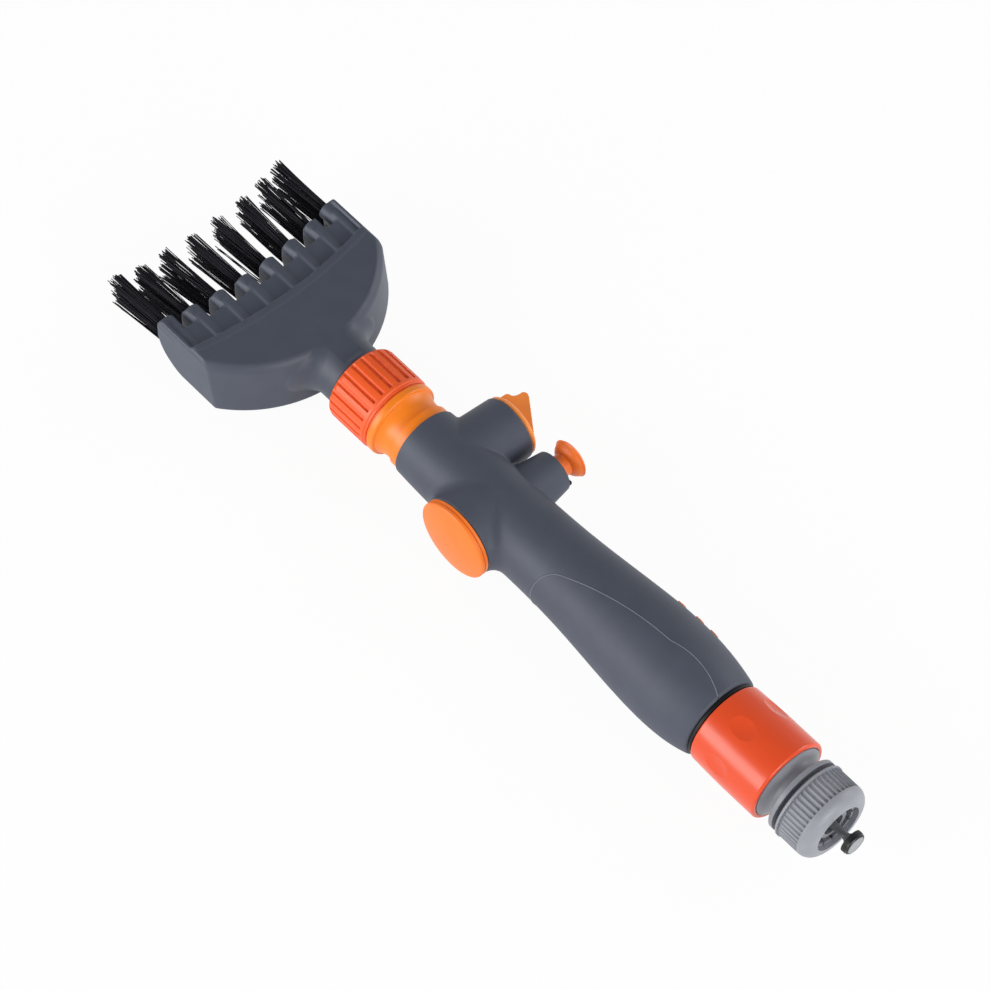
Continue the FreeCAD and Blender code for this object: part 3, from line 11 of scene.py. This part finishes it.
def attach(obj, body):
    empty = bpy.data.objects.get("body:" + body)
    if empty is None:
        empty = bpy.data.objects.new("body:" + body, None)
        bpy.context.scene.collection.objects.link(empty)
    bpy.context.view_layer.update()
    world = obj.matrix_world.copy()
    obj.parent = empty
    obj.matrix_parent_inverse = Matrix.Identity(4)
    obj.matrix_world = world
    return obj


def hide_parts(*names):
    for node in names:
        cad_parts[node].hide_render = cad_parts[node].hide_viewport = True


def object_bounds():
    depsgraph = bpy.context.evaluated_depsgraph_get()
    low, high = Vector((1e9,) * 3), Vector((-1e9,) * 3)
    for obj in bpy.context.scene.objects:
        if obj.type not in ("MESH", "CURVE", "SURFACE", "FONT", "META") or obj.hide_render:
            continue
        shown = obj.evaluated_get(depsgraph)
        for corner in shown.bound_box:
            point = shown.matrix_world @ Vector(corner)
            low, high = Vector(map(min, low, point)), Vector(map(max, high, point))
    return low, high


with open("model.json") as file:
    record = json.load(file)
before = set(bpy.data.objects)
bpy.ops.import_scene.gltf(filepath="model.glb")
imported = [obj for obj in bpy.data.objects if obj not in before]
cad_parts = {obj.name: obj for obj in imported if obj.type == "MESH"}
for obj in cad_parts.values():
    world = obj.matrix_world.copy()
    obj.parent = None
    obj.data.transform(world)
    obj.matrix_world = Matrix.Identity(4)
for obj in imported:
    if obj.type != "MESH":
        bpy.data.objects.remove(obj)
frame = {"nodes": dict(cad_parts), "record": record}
cad_low, cad_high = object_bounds()
nodes = frame["nodes"]

MM = 0.001

# the photograph's camera: its three axes, its place, its film's width and its lens, the last three in mm
CAMERA_RIGHT = (0.67315, 0.739135, 0.023414)
CAMERA_UP = (-0.628897, 0.555522, 0.543952)
CAMERA_BACK = (0.389047, -0.380886, 0.83879)
CAMERA_PLACE = (497.0226, -665.0088, 1472.9811)
FILM_WIDTH = 36.0
LENS_LENGTH = 169.0942

# the floor, in metres, its paint, and how much of its own white the camera and the gloss see
STAGE_MIDDLE = (-0.16, 0, 0)
FLOOR_SIZE = 6.0
FLOOR_GAP = 0.0002
FLOOR_PAINT = 0.95
FLOOR_GLOW = 0.95

# the room's light at its sides and overhead, and the heights between which it fades
SIDE_HEIGHT = 0.15
SIDE_GLOW = 0.62
TOP_HEIGHT = 0.9
TOP_GLOW = 0.2

# each lamp's name, place, width, length and power, in metres and watts
PANELS = (
    ("near_panel", (-0.75, -1.15, 0.42), 1.1, 0.7, 13.5),
    ("hose_panel", (1.15, -0.1, 0.5), 0.8, 0.6, 10),
    ("far_panel", (0.25, 1.25, 0.6), 0.9, 0.6, 6),
)

# the noise in the finishes: its detail, the part of it that the tint uses, and the size of wear in mm
TINT_DETAIL = 3.0
PLAIN_DETAIL = 2.0
TINT_START = 0.3
TINT_END = 0.7
WEAR_SIZE = 14.0

# the poppet's cap, in mm, and the shares of its radius between which its face turns into its rim
CAP_RADIUS = 4.7
FACE_END = 0.8
RIM_START = 0.84

# the comb, in mm: its arcs share one far axis
FAR_AXIS_X = -504.6
DISC_SIDES = 256
TOP_Z = 13.0
TOOTH_Y = (-41.0, -30.5, -18.3, -6.1, 6.1, 18.3, 30.5, 41.0)
NOSE_X = -321.0
NOSE_Z = 10.75
NOSE_RADIUS = 3.8
NOSE_LENGTH = 8.6
NOSE_INSET = 0.3
BROW_DEPTH = 2.3
BROW_REACH = 8
BROW_OVERLAP = 0.2
RIB_Z = 11.3
RIB_RADIUS = 2.5
RIB_OVERLAP = 3
PAD_Z = 10.35
PAD_FOOT_Z = 7.5
PAD_PLACE = 7.8

# the bead behind the comb's pads, in mm, and how deep the fan's top lies behind it
BEAD_X = -302.2
BEAD_OVERLAP = 0.6
BEAD_WIDTH = 3.0
RELIEF = 0.5

# the block that a layer of the comb starts from, in mm, and how far its cutters stand out of it
LAYER_FRONT_X = -345
LAYER_REAR_X = -262
LAYER_HALF_Y = 42.9
LAYER_TOP_Z = 16.0
LAYER_MARGIN = 1

# the moulded head: its voxels in mm, its rounds of smoothing and the share of its faces that stays
MOULD_VOXEL = 0.46
MOULD_ROUNDS = 6
MOULD_KEPT = 0.35

# the bead on the rim of the grip's cover, in mm. An edge of that rim has one face that looks outward
# by more than SKIN_FACING and one by less than WALL_FACING
SEAM_RADIUS = 0.19
SEAM_CUTS = 3
SEAM_ROUNDS = 12
SKIN_FACING = 0.8
WALL_FACING = 0.5

# the slope of the knob's wing, from its peak to its foot, and the fine ribs on it, in mm
SLOPE_TOP = (-209.3, 42.15)
SLOPE_FOOT = (-194.6, 31.35)
WING_HALF = 2.95
WING_RIBS = 15
WING_RIB_RADIUS = 0.34
WING_RIB_SIDES = 16
WING_RIB_BEVEL = 0.15
WING_RIB_CREASE = math.radians(50)

# each row of tufts, in mm: its name, its node, its height, the rise of its tips and its reach
ROWS = (
    ("bristles_upper", "tufts_upper", 6.5, -0.9, 32.2),
    ("bristles_middle", "tufts_middle", 0.5, -1.4, 31.6),
    ("bristles_lower", "tufts_lower", -4.8, -2.2, 30.6),
)

# a tuft, in mm: how it leans, how it is rooted and how it flares
TOOTH_LEAN = (-0.6, -1.4, -2.4, -0.6, 0.0, 1.0, 0.6, -0.4)
LEAN_PLAY = 0.5
SOCKET_RADIUS = 1.7
ROOT_DEPTH = 2.5
FLARE_Y = 2.0
FLARE_Z = 1.1
SLANT_LIMIT = 0.35
SLANT_REACH = 2.2
CROWN = 0.5

# the clumps that a tuft parts into
CLUMPS = 4
CLUMP_PULL = 0.9
CLUMP_HEIGHT = 0.6

# a filament, in mm, and the stray ones among its tuft
FILAMENTS = 38
FILAMENT_SIDES = 5
FILAMENT_CUTS = 2
FILAMENT_RADIUS = (0.2, 0.25)
FILAMENT_TAPER = 0.2
LENGTH_PLAY = (-1.3, 0.9)
TIP_PLAY_Y = 0.22
TIP_PLAY_Z = 0.16
BOW_PLAY = 0.22
STRAY_STEP = 9
STRAY_CUT = 4.0
STRAY_PLAY = 0.9
DICE_SEED = 41


# camera, floor and light
def place_camera():
    """The photograph's long lens, high over the wand's near side."""
    lens = bpy.data.cameras.new("photo_lens")
    lens.sensor_width = FILM_WIDTH
    lens.lens = LENS_LENGTH
    lens.clip_start = 0.1
    lens.clip_end = 20.0
    camera = bpy.data.objects.new("photo_camera", lens)
    bpy.context.scene.collection.objects.link(camera)
    turn = Matrix((CAMERA_RIGHT, CAMERA_UP, CAMERA_BACK)).transposed().to_4x4()
    camera.matrix_world = Matrix.Translation(Vector(CAMERA_PLACE) * MM) @ turn
    bpy.context.scene.camera = camera


def lay_floor():
    """A pale floor just under the grip, which keeps a faint shadow of the wand."""
    bpy.ops.object.select_all(action="DESELECT")
    place = (STAGE_MIDDLE[0], STAGE_MIDDLE[1], cad_low.z - FLOOR_GAP)
    bpy.ops.mesh.primitive_plane_add(size=FLOOR_SIZE, location=place)
    floor = bpy.context.object
    floor.name = "floor"
    paint = bpy.data.materials.new("pale_floor")
    paint.use_nodes = True
    tree = paint.node_tree
    tree.nodes.clear()
    matte = tree.nodes.new("ShaderNodeBsdfDiffuse")
    matte.inputs["Color"].default_value = (FLOOR_PAINT, FLOOR_PAINT, FLOOR_PAINT, 1)
    glow = tree.nodes.new("ShaderNodeEmission")
    glow.inputs["Color"].default_value = (1, 1, 1, 1)
    seen = tree.nodes.new("ShaderNodeLightPath")
    kinds = tree.nodes.new("ShaderNodeMath")
    kinds.operation = "MAXIMUM"
    share = tree.nodes.new("ShaderNodeMath")
    share.operation = "MULTIPLY"
    share.inputs[1].default_value = FLOOR_GLOW
    mix = tree.nodes.new("ShaderNodeMixShader")
    out = tree.nodes.new("ShaderNodeOutputMaterial")
    tree.links.new(seen.outputs["Is Camera Ray"], kinds.inputs[0])
    tree.links.new(seen.outputs["Is Glossy Ray"], kinds.inputs[1])
    tree.links.new(kinds.outputs[0], share.inputs[0])
    tree.links.new(share.outputs[0], mix.inputs["Fac"])
    tree.links.new(matte.outputs[0], mix.inputs[1])
    tree.links.new(glow.outputs[0], mix.inputs[2])
    tree.links.new(mix.outputs[0], out.inputs["Surface"])
    floor.data.materials.append(paint)


def hang_lamp(name, place, width, length, power):
    """A soft panel that shines from its place toward the middle of the wand."""
    panel = bpy.data.lights.new(name, "AREA")
    panel.shape = "RECTANGLE"
    panel.size = width
    panel.size_y = length
    panel.energy = power
    lamp = bpy.data.objects.new(name, panel)
    bpy.context.scene.collection.objects.link(lamp)
    lamp.location = place
    lamp.rotation_euler = (Vector(STAGE_MIDDLE) - Vector(place)).to_track_quat("-Z", "Y").to_euler()


def light_studio():
    """A white room that is bright round the sides and dimmer overhead, with three soft panels."""
    room = bpy.data.worlds.new("white_room")
    room.use_nodes = True
    tree = room.node_tree
    sky = tree.nodes["Background"]
    sky.inputs["Color"].default_value = (1, 1, 1, 1)
    way = tree.nodes.new("ShaderNodeTexCoord")
    parts = tree.nodes.new("ShaderNodeSeparateXYZ")
    fade = tree.nodes.new("ShaderNodeMapRange")
    fade.inputs["From Min"].default_value = SIDE_HEIGHT
    fade.inputs["From Max"].default_value = TOP_HEIGHT
    fade.inputs["To Min"].default_value = SIDE_GLOW
    fade.inputs["To Max"].default_value = TOP_GLOW
    tree.links.new(way.outputs["Generated"], parts.inputs[0])
    tree.links.new(parts.outputs["Z"], fade.inputs["Value"])
    tree.links.new(fade.outputs["Result"], sky.inputs["Strength"])
    bpy.context.scene.world = room
    for panel in PANELS:
        hang_lamp(*panel)


# finishes
class Finish:
    """A plastic or metal finish, wired node by node."""

    def __init__(self, name, colour, roughness, specular=0.5, metallic=0.0):
        self.material = bpy.data.materials.new(name)
        self.material.use_nodes = True
        self.tree = self.material.node_tree
        self.shader = self.tree.nodes["Principled BSDF"]
        self.shader.inputs["Specular IOR Level"].default_value = specular
        self.shader.inputs["Metallic"].default_value = metallic
        self.place = self.tree.nodes.new("ShaderNodeTexCoord").outputs["Object"]
        self.colour = colour
        self.roughness = roughness

    def cloud(self, size_mm, detail):
        """Soft noise whose patches are about this large."""
        noise = self.tree.nodes.new("ShaderNodeTexNoise")
        noise.inputs["Scale"].default_value = 1.0 / (size_mm * MM)
        noise.inputs["Detail"].default_value = detail
        self.tree.links.new(self.place, noise.inputs["Vector"])
        return noise.outputs["Fac"]

    def tinted(self, size_mm, spread):
        """The colour, a little lighter and darker in patches."""
        ramp = self.tree.nodes.new("ShaderNodeValToRGB")
        low, high = (tuple(c * k for c in self.colour) + (1,) for k in (1 - spread, 1 + spread))
        ramp.color_ramp.elements[0].position = TINT_START
        ramp.color_ramp.elements[0].color = low
        ramp.color_ramp.elements[1].position = TINT_END
        ramp.color_ramp.elements[1].color = high
        self.tree.links.new(self.cloud(size_mm, TINT_DETAIL), ramp.inputs["Fac"])
        self.tree.links.new(ramp.outputs["Color"], self.shader.inputs["Base Color"])
        return self

    def rimmed(self, rim):
        """The colour on the flat face of a disc about the wand's axis, and another round its rim."""
        parts = self.tree.nodes.new("ShaderNodeSeparateXYZ")
        flat = self.tree.nodes.new("ShaderNodeCombineXYZ")
        reach = self.tree.nodes.new("ShaderNodeVectorMath")
        reach.operation = "LENGTH"
        ramp = self.tree.nodes.new("ShaderNodeValToRGB")
        span = self.tree.nodes.new("ShaderNodeMapRange")
        span.inputs["From Max"].default_value = CAP_RADIUS * MM
        self.tree.links.new(self.place, parts.inputs[0])
        self.tree.links.new(parts.outputs["Y"], flat.inputs["Y"])
        self.tree.links.new(parts.outputs["Z"], flat.inputs["Z"])
        self.tree.links.new(flat.outputs[0], reach.inputs[0])
        self.tree.links.new(reach.outputs["Value"], span.inputs["Value"])
        self.tree.links.new(span.outputs["Result"], ramp.inputs["Fac"])
        ramp.color_ramp.elements[0].position = FACE_END
        ramp.color_ramp.elements[0].color = (*self.colour, 1)
        ramp.color_ramp.elements[1].position = RIM_START
        ramp.color_ramp.elements[1].color = (*rim, 1)
        self.tree.links.new(ramp.outputs["Color"], self.shader.inputs["Base Color"])
        return self

    def worn(self, size_mm, spread):
        """The gloss, a little uneven from handling."""
        span = self.tree.nodes.new("ShaderNodeMapRange")
        span.inputs["To Min"].default_value = self.roughness - spread
        span.inputs["To Max"].default_value = self.roughness + spread
        self.tree.links.new(self.cloud(size_mm, PLAIN_DETAIL), span.inputs["Value"])
        self.tree.links.new(span.outputs["Result"], self.shader.inputs["Roughness"])
        return self

    def grained(self, size_mm, height_mm):
        """The fine grain that the mould leaves."""
        bump = self.tree.nodes.new("ShaderNodeBump")
        bump.inputs["Distance"].default_value = height_mm * MM
        bump.inputs["Strength"].default_value = 1.0
        self.tree.links.new(self.cloud(size_mm, PLAIN_DETAIL), bump.inputs["Height"])
        self.tree.links.new(bump.outputs["Normal"], self.shader.inputs["Normal"])
        return self


def linear(*levels):
    """A colour given in display levels of 0 to 255, by the usual display curve."""
    shares = [level / 255 for level in levels]
    return tuple(s / 12.92 if s <= 0.04045 else ((s + 0.055) / 1.055) ** 2.4 for s in shares)


def make_finishes():
    """Every finish on the wand by its name, which is the record's slot name where it has one."""
    made = {}

    def plastic(name, levels, roughness,
                tint=(9.0, 0.05), grain=(0.35, 0.012), specular=0.5, wear=0.04):
        finish = Finish(f"{name}_finish", linear(*levels), roughness, specular)
        finish.tinted(*tint).worn(WEAR_SIZE, wear).grained(*grain)
        made[name] = finish.material

    def metal(name, colour, roughness):
        finish = Finish(f"{name}_finish", colour, roughness, metallic=1.0)
        finish.tinted(6.0, 0.06).worn(5.0, 0.06).grained(0.4, 0.004)
        made[name] = finish.material

    plastic("head_grey", (70, 76, 90), 0.5)
    plastic("comb_grey", (70, 76, 90), 0.5)
    plastic("shell_grey", (70, 76, 90), 0.55, grain=(0.3, 0.02))
    plastic("cover_grey", (72, 77, 91), 0.6, grain=(0.25, 0.02))
    plastic("orange_red", (242, 92, 28), 0.42)
    plastic("collar_orange", (252, 132, 20), 0.4)
    plastic("knob_orange", (255, 122, 44), 0.42)
    # a lighter copy of the knob's orange for its wing: painted highlight where strong light falls on it
    plastic("lit_wing_orange", (255, 150, 66), 0.42)
    plastic("lid_orange", (250, 124, 34), 0.45)
    plastic("inlay_orange", (240, 128, 84), 0.5)
    plastic("sleeve_orange", (232, 78, 34), 0.27, tint=(16.0, 0.02), grain=(0.6, 0.003), wear=0.01)
    plastic("nut_grey", (148, 150, 158), 0.45)
    plastic("connector_grey", (136, 138, 146), 0.4)
    plastic("claw_grey", (118, 122, 124), 0.35)
    plastic("black_plastic", (15, 14, 16), 0.5, specular=0.3)
    plastic("black_rubber", (18, 18, 20), 0.6)
    plastic("bristle", (34, 32, 40), 0.6, grain=(0.5, 0.002), specular=0.15)
    # the seam bead's grey, lighter than the cover: a painted highlight along the seam's edge
    plastic("seam", (114, 119, 132), 0.5, grain=(0.35, 0.01))
    cap = Finish("cap_finish", linear(150, 153, 156), 0.4)
    made["cap"] = cap.rimmed(linear(20, 20, 22)).worn(6.0, 0.04).material
    metal("steel", (0.6, 0.6, 0.62), 0.3)
    metal("brass", (0.78, 0.58, 0.28), 0.28)
    return made


def finish_nodes():
    """Give each CAD node its slot's finish, the knob a lighter orange that paints in the strong light on
    its wing, and the poppet's cap a finish of its own.
    """
    for entry in frame["record"]["subparts"]:
        part = nodes[entry["node"]]
        if not part.material_slots:
            part.data.materials.append(None)
        for holder in part.material_slots:
            holder.material = finishes[entry["material_slot"]]
    # the knob takes the lighter wing orange, a painted highlight
    nodes["tap_knob"].material_slots[0].material = finishes["lit_wing_orange"]
    nodes["poppet_cap"].material_slots[0].material = finishes["cap"]


# shared modelling steps
def only(piece):
    """Select one piece and make it the one that operators work on."""
    bpy.ops.object.select_all(action="DESELECT")
    piece.select_set(True)
    bpy.context.view_layer.objects.active = piece


def copy_of(node, name):
    """A copy of a CAD node whose loose triangles are joined up."""
    piece = bpy.data.objects.new(name, nodes[node].data.copy())
    bpy.context.scene.collection.objects.link(piece)
    only(piece)
    bpy.ops.object.mode_set(mode="EDIT")
    bpy.ops.mesh.select_all(action="SELECT")
    bpy.ops.mesh.remove_doubles(threshold=0.001 * MM)
    bpy.ops.object.mode_set(mode="OBJECT")
    return piece


def finished_by(piece, kind, **settings):
    """Add a modifier with these settings and apply it."""
    only(piece)
    modifier = piece.modifiers.new(kind.lower(), kind)
    for setting, value in settings.items():
        setattr(modifier, setting, value)
    bpy.ops.object.modifier_apply(modifier=modifier.name)


def dressed(piece, slot, body, *replaced, finish=None):
    """Give a piece its slot's or its own finish and its body, and hide the nodes that it stands for."""
    piece.data.materials.clear()
    piece.data.materials.append(finishes[finish or slot])
    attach(piece, body)
    if replaced:
        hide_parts(*replaced)


def block(name, low, high):
    """A block between two corners in mm."""
    bpy.ops.object.select_all(action="DESELECT")
    middle = [(a + b) / 2 * MM for a, b in zip(low, high)]
    bpy.ops.mesh.primitive_cube_add(size=1.0, location=middle)
    piece = bpy.context.object
    piece.name = name
    piece.scale = [(b - a) * MM for a, b in zip(low, high)]
    bpy.ops.object.transform_apply(location=True, rotation=True, scale=True)
    return piece


def bar(name, start, end, radius, sides=48):
    """A round bar between two points in mm."""
    bpy.ops.object.select_all(action="DESELECT")
    start, end = Vector(start), Vector(end)
    bpy.ops.mesh.primitive_cylinder_add(
        vertices=sides, radius=radius * MM, depth=(end - start).length * MM,
        location=(start + end) / 2 * MM, rotation=(end - start).to_track_quat("Z", "Y").to_euler())
    piece = bpy.context.object
    piece.name = name
    bpy.ops.object.transform_apply(location=True, rotation=True, scale=True)
    return piece


def cut_by(piece, cutter):
    """Take one closed piece out of another."""
    finished_by(piece, "BOOLEAN", operation="DIFFERENCE", object=cutter)
    bpy.data.objects.remove(cutter)


def gathered(pieces):
    """Join pieces into the first one."""
    bpy.ops.object.select_all(action="DESELECT")
    for piece in pieces:
        piece.select_set(True)
    bpy.context.view_layer.objects.active = pieces[0]
    bpy.ops.object.join()
    return bpy.context.object


# moulded head
def arc_point(x, y, z):
    """A point on the comb's arc that crosses the wand's middle plane at x, at this y and z."""
    radius = x - FAR_AXIS_X
    return Vector((FAR_AXIS_X + math.sqrt(radius * radius - y * y), y, z))


def disc(name, x, low, high):
    """A wide disc about the comb's far axis, whose edge crosses the wand's middle plane at x."""
    return bar(name, (FAR_AXIS_X, 0, low), (FAR_AXIS_X, 0, high), x - FAR_AXIS_X, DISC_SIDES)


def layer_behind(name, low, front):
    """What lies above a level and behind an arc of the comb."""
    layer = block(name, (LAYER_FRONT_X, -LAYER_HALF_Y, low), (LAYER_REAR_X, LAYER_HALF_Y, LAYER_TOP_Z))
    cut_by(layer, disc("nose_side", front, low - LAYER_MARGIN, LAYER_TOP_Z + LAYER_MARGIN))
    return layer


def layer_between(name, low, front, rear):
    """What lies above a level between two arcs of the comb."""
    layer = layer_behind(name, low, front)
    keep = disc("bead_side", rear, low - LAYER_MARGIN, LAYER_TOP_Z + LAYER_MARGIN)
    finished_by(layer, "BOOLEAN", operation="INTERSECT", object=keep)
    bpy.data.objects.remove(keep)
    return layer


def soften_comb():
    """The comb's copy with its edges cut back, and the round noses, low ribs and pads to join to it."""
    comb = copy_of("comb", "comb_mould")
    nose_end = NOSE_X + NOSE_LENGTH
    cut_by(comb, layer_between("rib_tops", PAD_Z, nose_end, BEAD_X))
    cut_by(comb, layer_between("brow", TOP_Z - BROW_DEPTH, NOSE_X - BROW_REACH, nose_end + BROW_OVERLAP))
    added = [comb]
    for y in TOOTH_Y:
        front = arc_point(NOSE_X + NOSE_INSET, y, NOSE_Z - NOSE_RADIUS)
        rear = arc_point(nose_end, y, NOSE_Z - NOSE_RADIUS)
        added.append(bar("nose", front, rear, NOSE_RADIUS))
        start = arc_point(nose_end - RIB_OVERLAP, y, RIB_Z - RIB_RADIUS)
        end = arc_point(BEAD_X + BEAD_OVERLAP, y, RIB_Z - RIB_RADIUS)
        added.append(bar("rib", start, end, RIB_RADIUS))
    for left, right in zip(TOOTH_Y, TOOTH_Y[1:]):
        middle = (left + right) / 2
        front = arc_point(NOSE_X + PAD_PLACE, middle, 0).x
        rear = arc_point(BEAD_X + BEAD_OVERLAP, middle, 0).x
        added.append(block("pad", (front, left, PAD_FOOT_Z), (rear, right, PAD_Z)))
    return added


def mould_head():
    """Fan and comb as one soft moulding, with a raised rim where the comb's pads end."""
    fan = copy_of("head_housing", "moulded_head")
    cut_by(fan, layer_behind("top_relief", TOP_Z - RELIEF, BEAD_X + BEAD_WIDTH))
    head = gathered([fan, *soften_comb()])
    finished_by(head, "REMESH", mode="VOXEL", voxel_size=MOULD_VOXEL * MM, use_smooth_shade=True)
    finished_by(head, "SMOOTH", factor=0.5, iterations=MOULD_ROUNDS)
    finished_by(head, "DECIMATE", decimate_type="COLLAPSE", ratio=MOULD_KEPT)
    dressed(head, "head_grey", "head", "head_housing", "comb")


# seam
def run_seam():
    """The fine light line round the grip's soft cover, a thin bead on the rim of its outer skin, painted
    lighter than the cover as a painted highlight along the seam.
    """
    seam = copy_of("grip_cover", "seam_line")
    bpy.ops.object.mode_set(mode="EDIT")
    bpy.ops.mesh.select_all(action="DESELECT")
    bpy.ops.mesh.select_mode(type="EDGE")
    mesh = bmesh.from_edit_mesh(seam.data)
    for edge in mesh.edges:
        if len(edge.link_faces) != 2:
            continue
        middle = (edge.verts[0].co + edge.verts[1].co) / 2
        outward = Vector((0, middle.y, middle.z)).normalized()
        facing = sorted(face.normal.dot(outward) for face in edge.link_faces)
        edge.select_set(facing[1] > SKIN_FACING and facing[0] < WALL_FACING)
    bmesh.update_edit_mesh(seam.data)
    bpy.ops.mesh.duplicate()
    bpy.ops.mesh.separate(type="SELECTED")
    bpy.ops.object.mode_set(mode="OBJECT")
    line = next(piece for piece in bpy.context.selected_objects if piece is not seam)
    bpy.data.objects.remove(seam)
    line.name = "seam_line"
    only(line)
    bpy.ops.object.mode_set(mode="EDIT")
    bpy.ops.mesh.select_all(action="SELECT")
    bpy.ops.mesh.subdivide(number_cuts=SEAM_CUTS)
    bpy.ops.object.mode_set(mode="OBJECT")
    finished_by(line, "SMOOTH", factor=0.5, iterations=SEAM_ROUNDS)
    bpy.ops.object.convert(target="CURVE")
    line.data.bevel_depth = SEAM_RADIUS * MM
    line.data.bevel_resolution = 2
    bpy.ops.object.convert(target="MESH")
    bpy.ops.object.shade_smooth()
    # the bead takes the lighter seam grey, a painted highlight
    dressed(line, "cover_grey", "handle", finish="seam")


# knob
def rib_wing():
    """Fine round ribs across the slope of the knob's wing, each sunk by half, in the wing's lighter
    orange, which is a painted highlight.
    """
    ribs = []
    for place in range(WING_RIBS):
        share = place / (WING_RIBS - 1)
        x = SLOPE_TOP[0] + share * (SLOPE_FOOT[0] - SLOPE_TOP[0])
        y = SLOPE_TOP[1] + share * (SLOPE_FOOT[1] - SLOPE_TOP[1])
        rib = bar("rib", (x, y, -WING_HALF), (x, y, WING_HALF), WING_RIB_RADIUS, WING_RIB_SIDES)
        finished_by(rib, "BEVEL", width=WING_RIB_BEVEL * MM, segments=3, limit_method="ANGLE")
        ribs.append(rib)
    wing = gathered(ribs)
    wing.name = "wing_ribs"
    bpy.ops.object.shade_smooth_by_angle(angle=WING_RIB_CREASE)
    # the ribs take the lighter wing orange, a painted highlight
    dressed(wing, "knob_orange", "tap", finish="lit_wing_orange")


# bristles
def model_filament():
    """One straight filament of unit length and radius, which is scaled where it is laid."""
    bpy.ops.object.select_all(action="DESELECT")
    bpy.ops.mesh.primitive_cylinder_add(
        vertices=FILAMENT_SIDES, radius=1.0, depth=1.0, end_fill_type="NGON", location=(0, 0, 0.5))
    filament = bpy.context.object
    bpy.ops.object.transform_apply(location=True, rotation=True, scale=True)
    bpy.ops.object.mode_set(mode="EDIT")
    mesh = bmesh.from_edit_mesh(filament.data)
    for edge in mesh.edges:
        edge.select_set(abs(edge.verts[0].co.z - edge.verts[1].co.z) > 0.5)
    bmesh.update_edit_mesh(filament.data)
    bpy.ops.mesh.subdivide(number_cuts=FILAMENT_CUTS)
    bpy.ops.object.mode_set(mode="OBJECT")
    bpy.ops.object.shade_smooth()
    return filament


def laid(filament, root, tip, bow, radius):
    """A copy of the filament from its root to its tip, a little bowed and finer at the tip."""
    copy = filament.copy()
    copy.data = filament.data.copy()
    bpy.context.scene.collection.objects.link(copy)
    for vertex in copy.data.vertices:
        share = vertex.co.z
        line = root.lerp(tip, share) + bow * (4 * share * (1 - share))
        thick = radius * (1 - FILAMENT_TAPER * share)
        vertex.co = (line + Vector((0, vertex.co.x, vertex.co.y)) * thick) * MM
    return copy


def plant_row(name, node, height, rise, reach, filament, dice):
    """A row of tufts: each tooth holds one, whose filaments part into a few clumps."""
    planted = []
    for y, lean in zip(TOOTH_Y, TOOTH_LEAN):
        lean += dice.uniform(-LEAN_PLAY, LEAN_PLAY)
        turn = dice.uniform(0, 2 * math.pi)
        slant = dice.uniform(-SLANT_LIMIT, SLANT_LIMIT)
        for place in range(FILAMENTS):
            angle = dice.uniform(0, 2 * math.pi)
            spread = math.sqrt(dice.uniform(0, 1))
            out_y, out_z = spread * math.cos(angle), spread * math.sin(angle)
            root = arc_point(NOSE_X, y, height) + Vector(
                (ROOT_DEPTH, SOCKET_RADIUS * out_y, SOCKET_RADIUS * out_z))
            clump = turn + 2 * math.pi * round((angle - turn) / (2 * math.pi) * CLUMPS) / CLUMPS
            part = CLUMP_PULL * spread
            tip_y = y + lean + FLARE_Y * out_y + part * math.cos(clump) + dice.gauss(0, TIP_PLAY_Y)
            tip_z = (height + rise + FLARE_Z * out_z + CLUMP_HEIGHT * part * math.sin(clump)
                     + dice.gauss(0, TIP_PLAY_Z))
            length = (reach + slant * SLANT_REACH * out_y - CROWN * out_y ** 2
                      + dice.uniform(*LENGTH_PLAY))
            if place % STRAY_STEP == 0:
                length -= STRAY_CUT * dice.random()
                tip_y += dice.gauss(0, STRAY_PLAY)
            tip = Vector((root.x - length, tip_y, tip_z))
            bow = Vector((0, dice.gauss(0, BOW_PLAY), dice.gauss(0, BOW_PLAY)))
            planted.append(laid(filament, root, tip, bow, dice.uniform(*FILAMENT_RADIUS)))
    row = gathered(planted)
    row.name = name
    bpy.ops.object.mode_set(mode="EDIT")
    bpy.ops.mesh.select_all(action="SELECT")
    bpy.ops.mesh.normals_make_consistent(inside=False)
    bpy.ops.object.mode_set(mode="OBJECT")
    dressed(row, "bristle", "head", node)


def plant_bristles():
    """Three rows of tufts, planted in the comb's teeth."""
    dice = random.Random(DICE_SEED)
    filament = model_filament()
    for row in ROWS:
        plant_row(*row, filament, dice)
    bpy.data.objects.remove(filament)


place_camera()
lay_floor()
light_studio()
finishes = make_finishes()
finish_nodes()
mould_head()
run_seam()
rib_wing()
plant_bristles()

bpy.context.scene.view_settings.view_transform = "Standard"
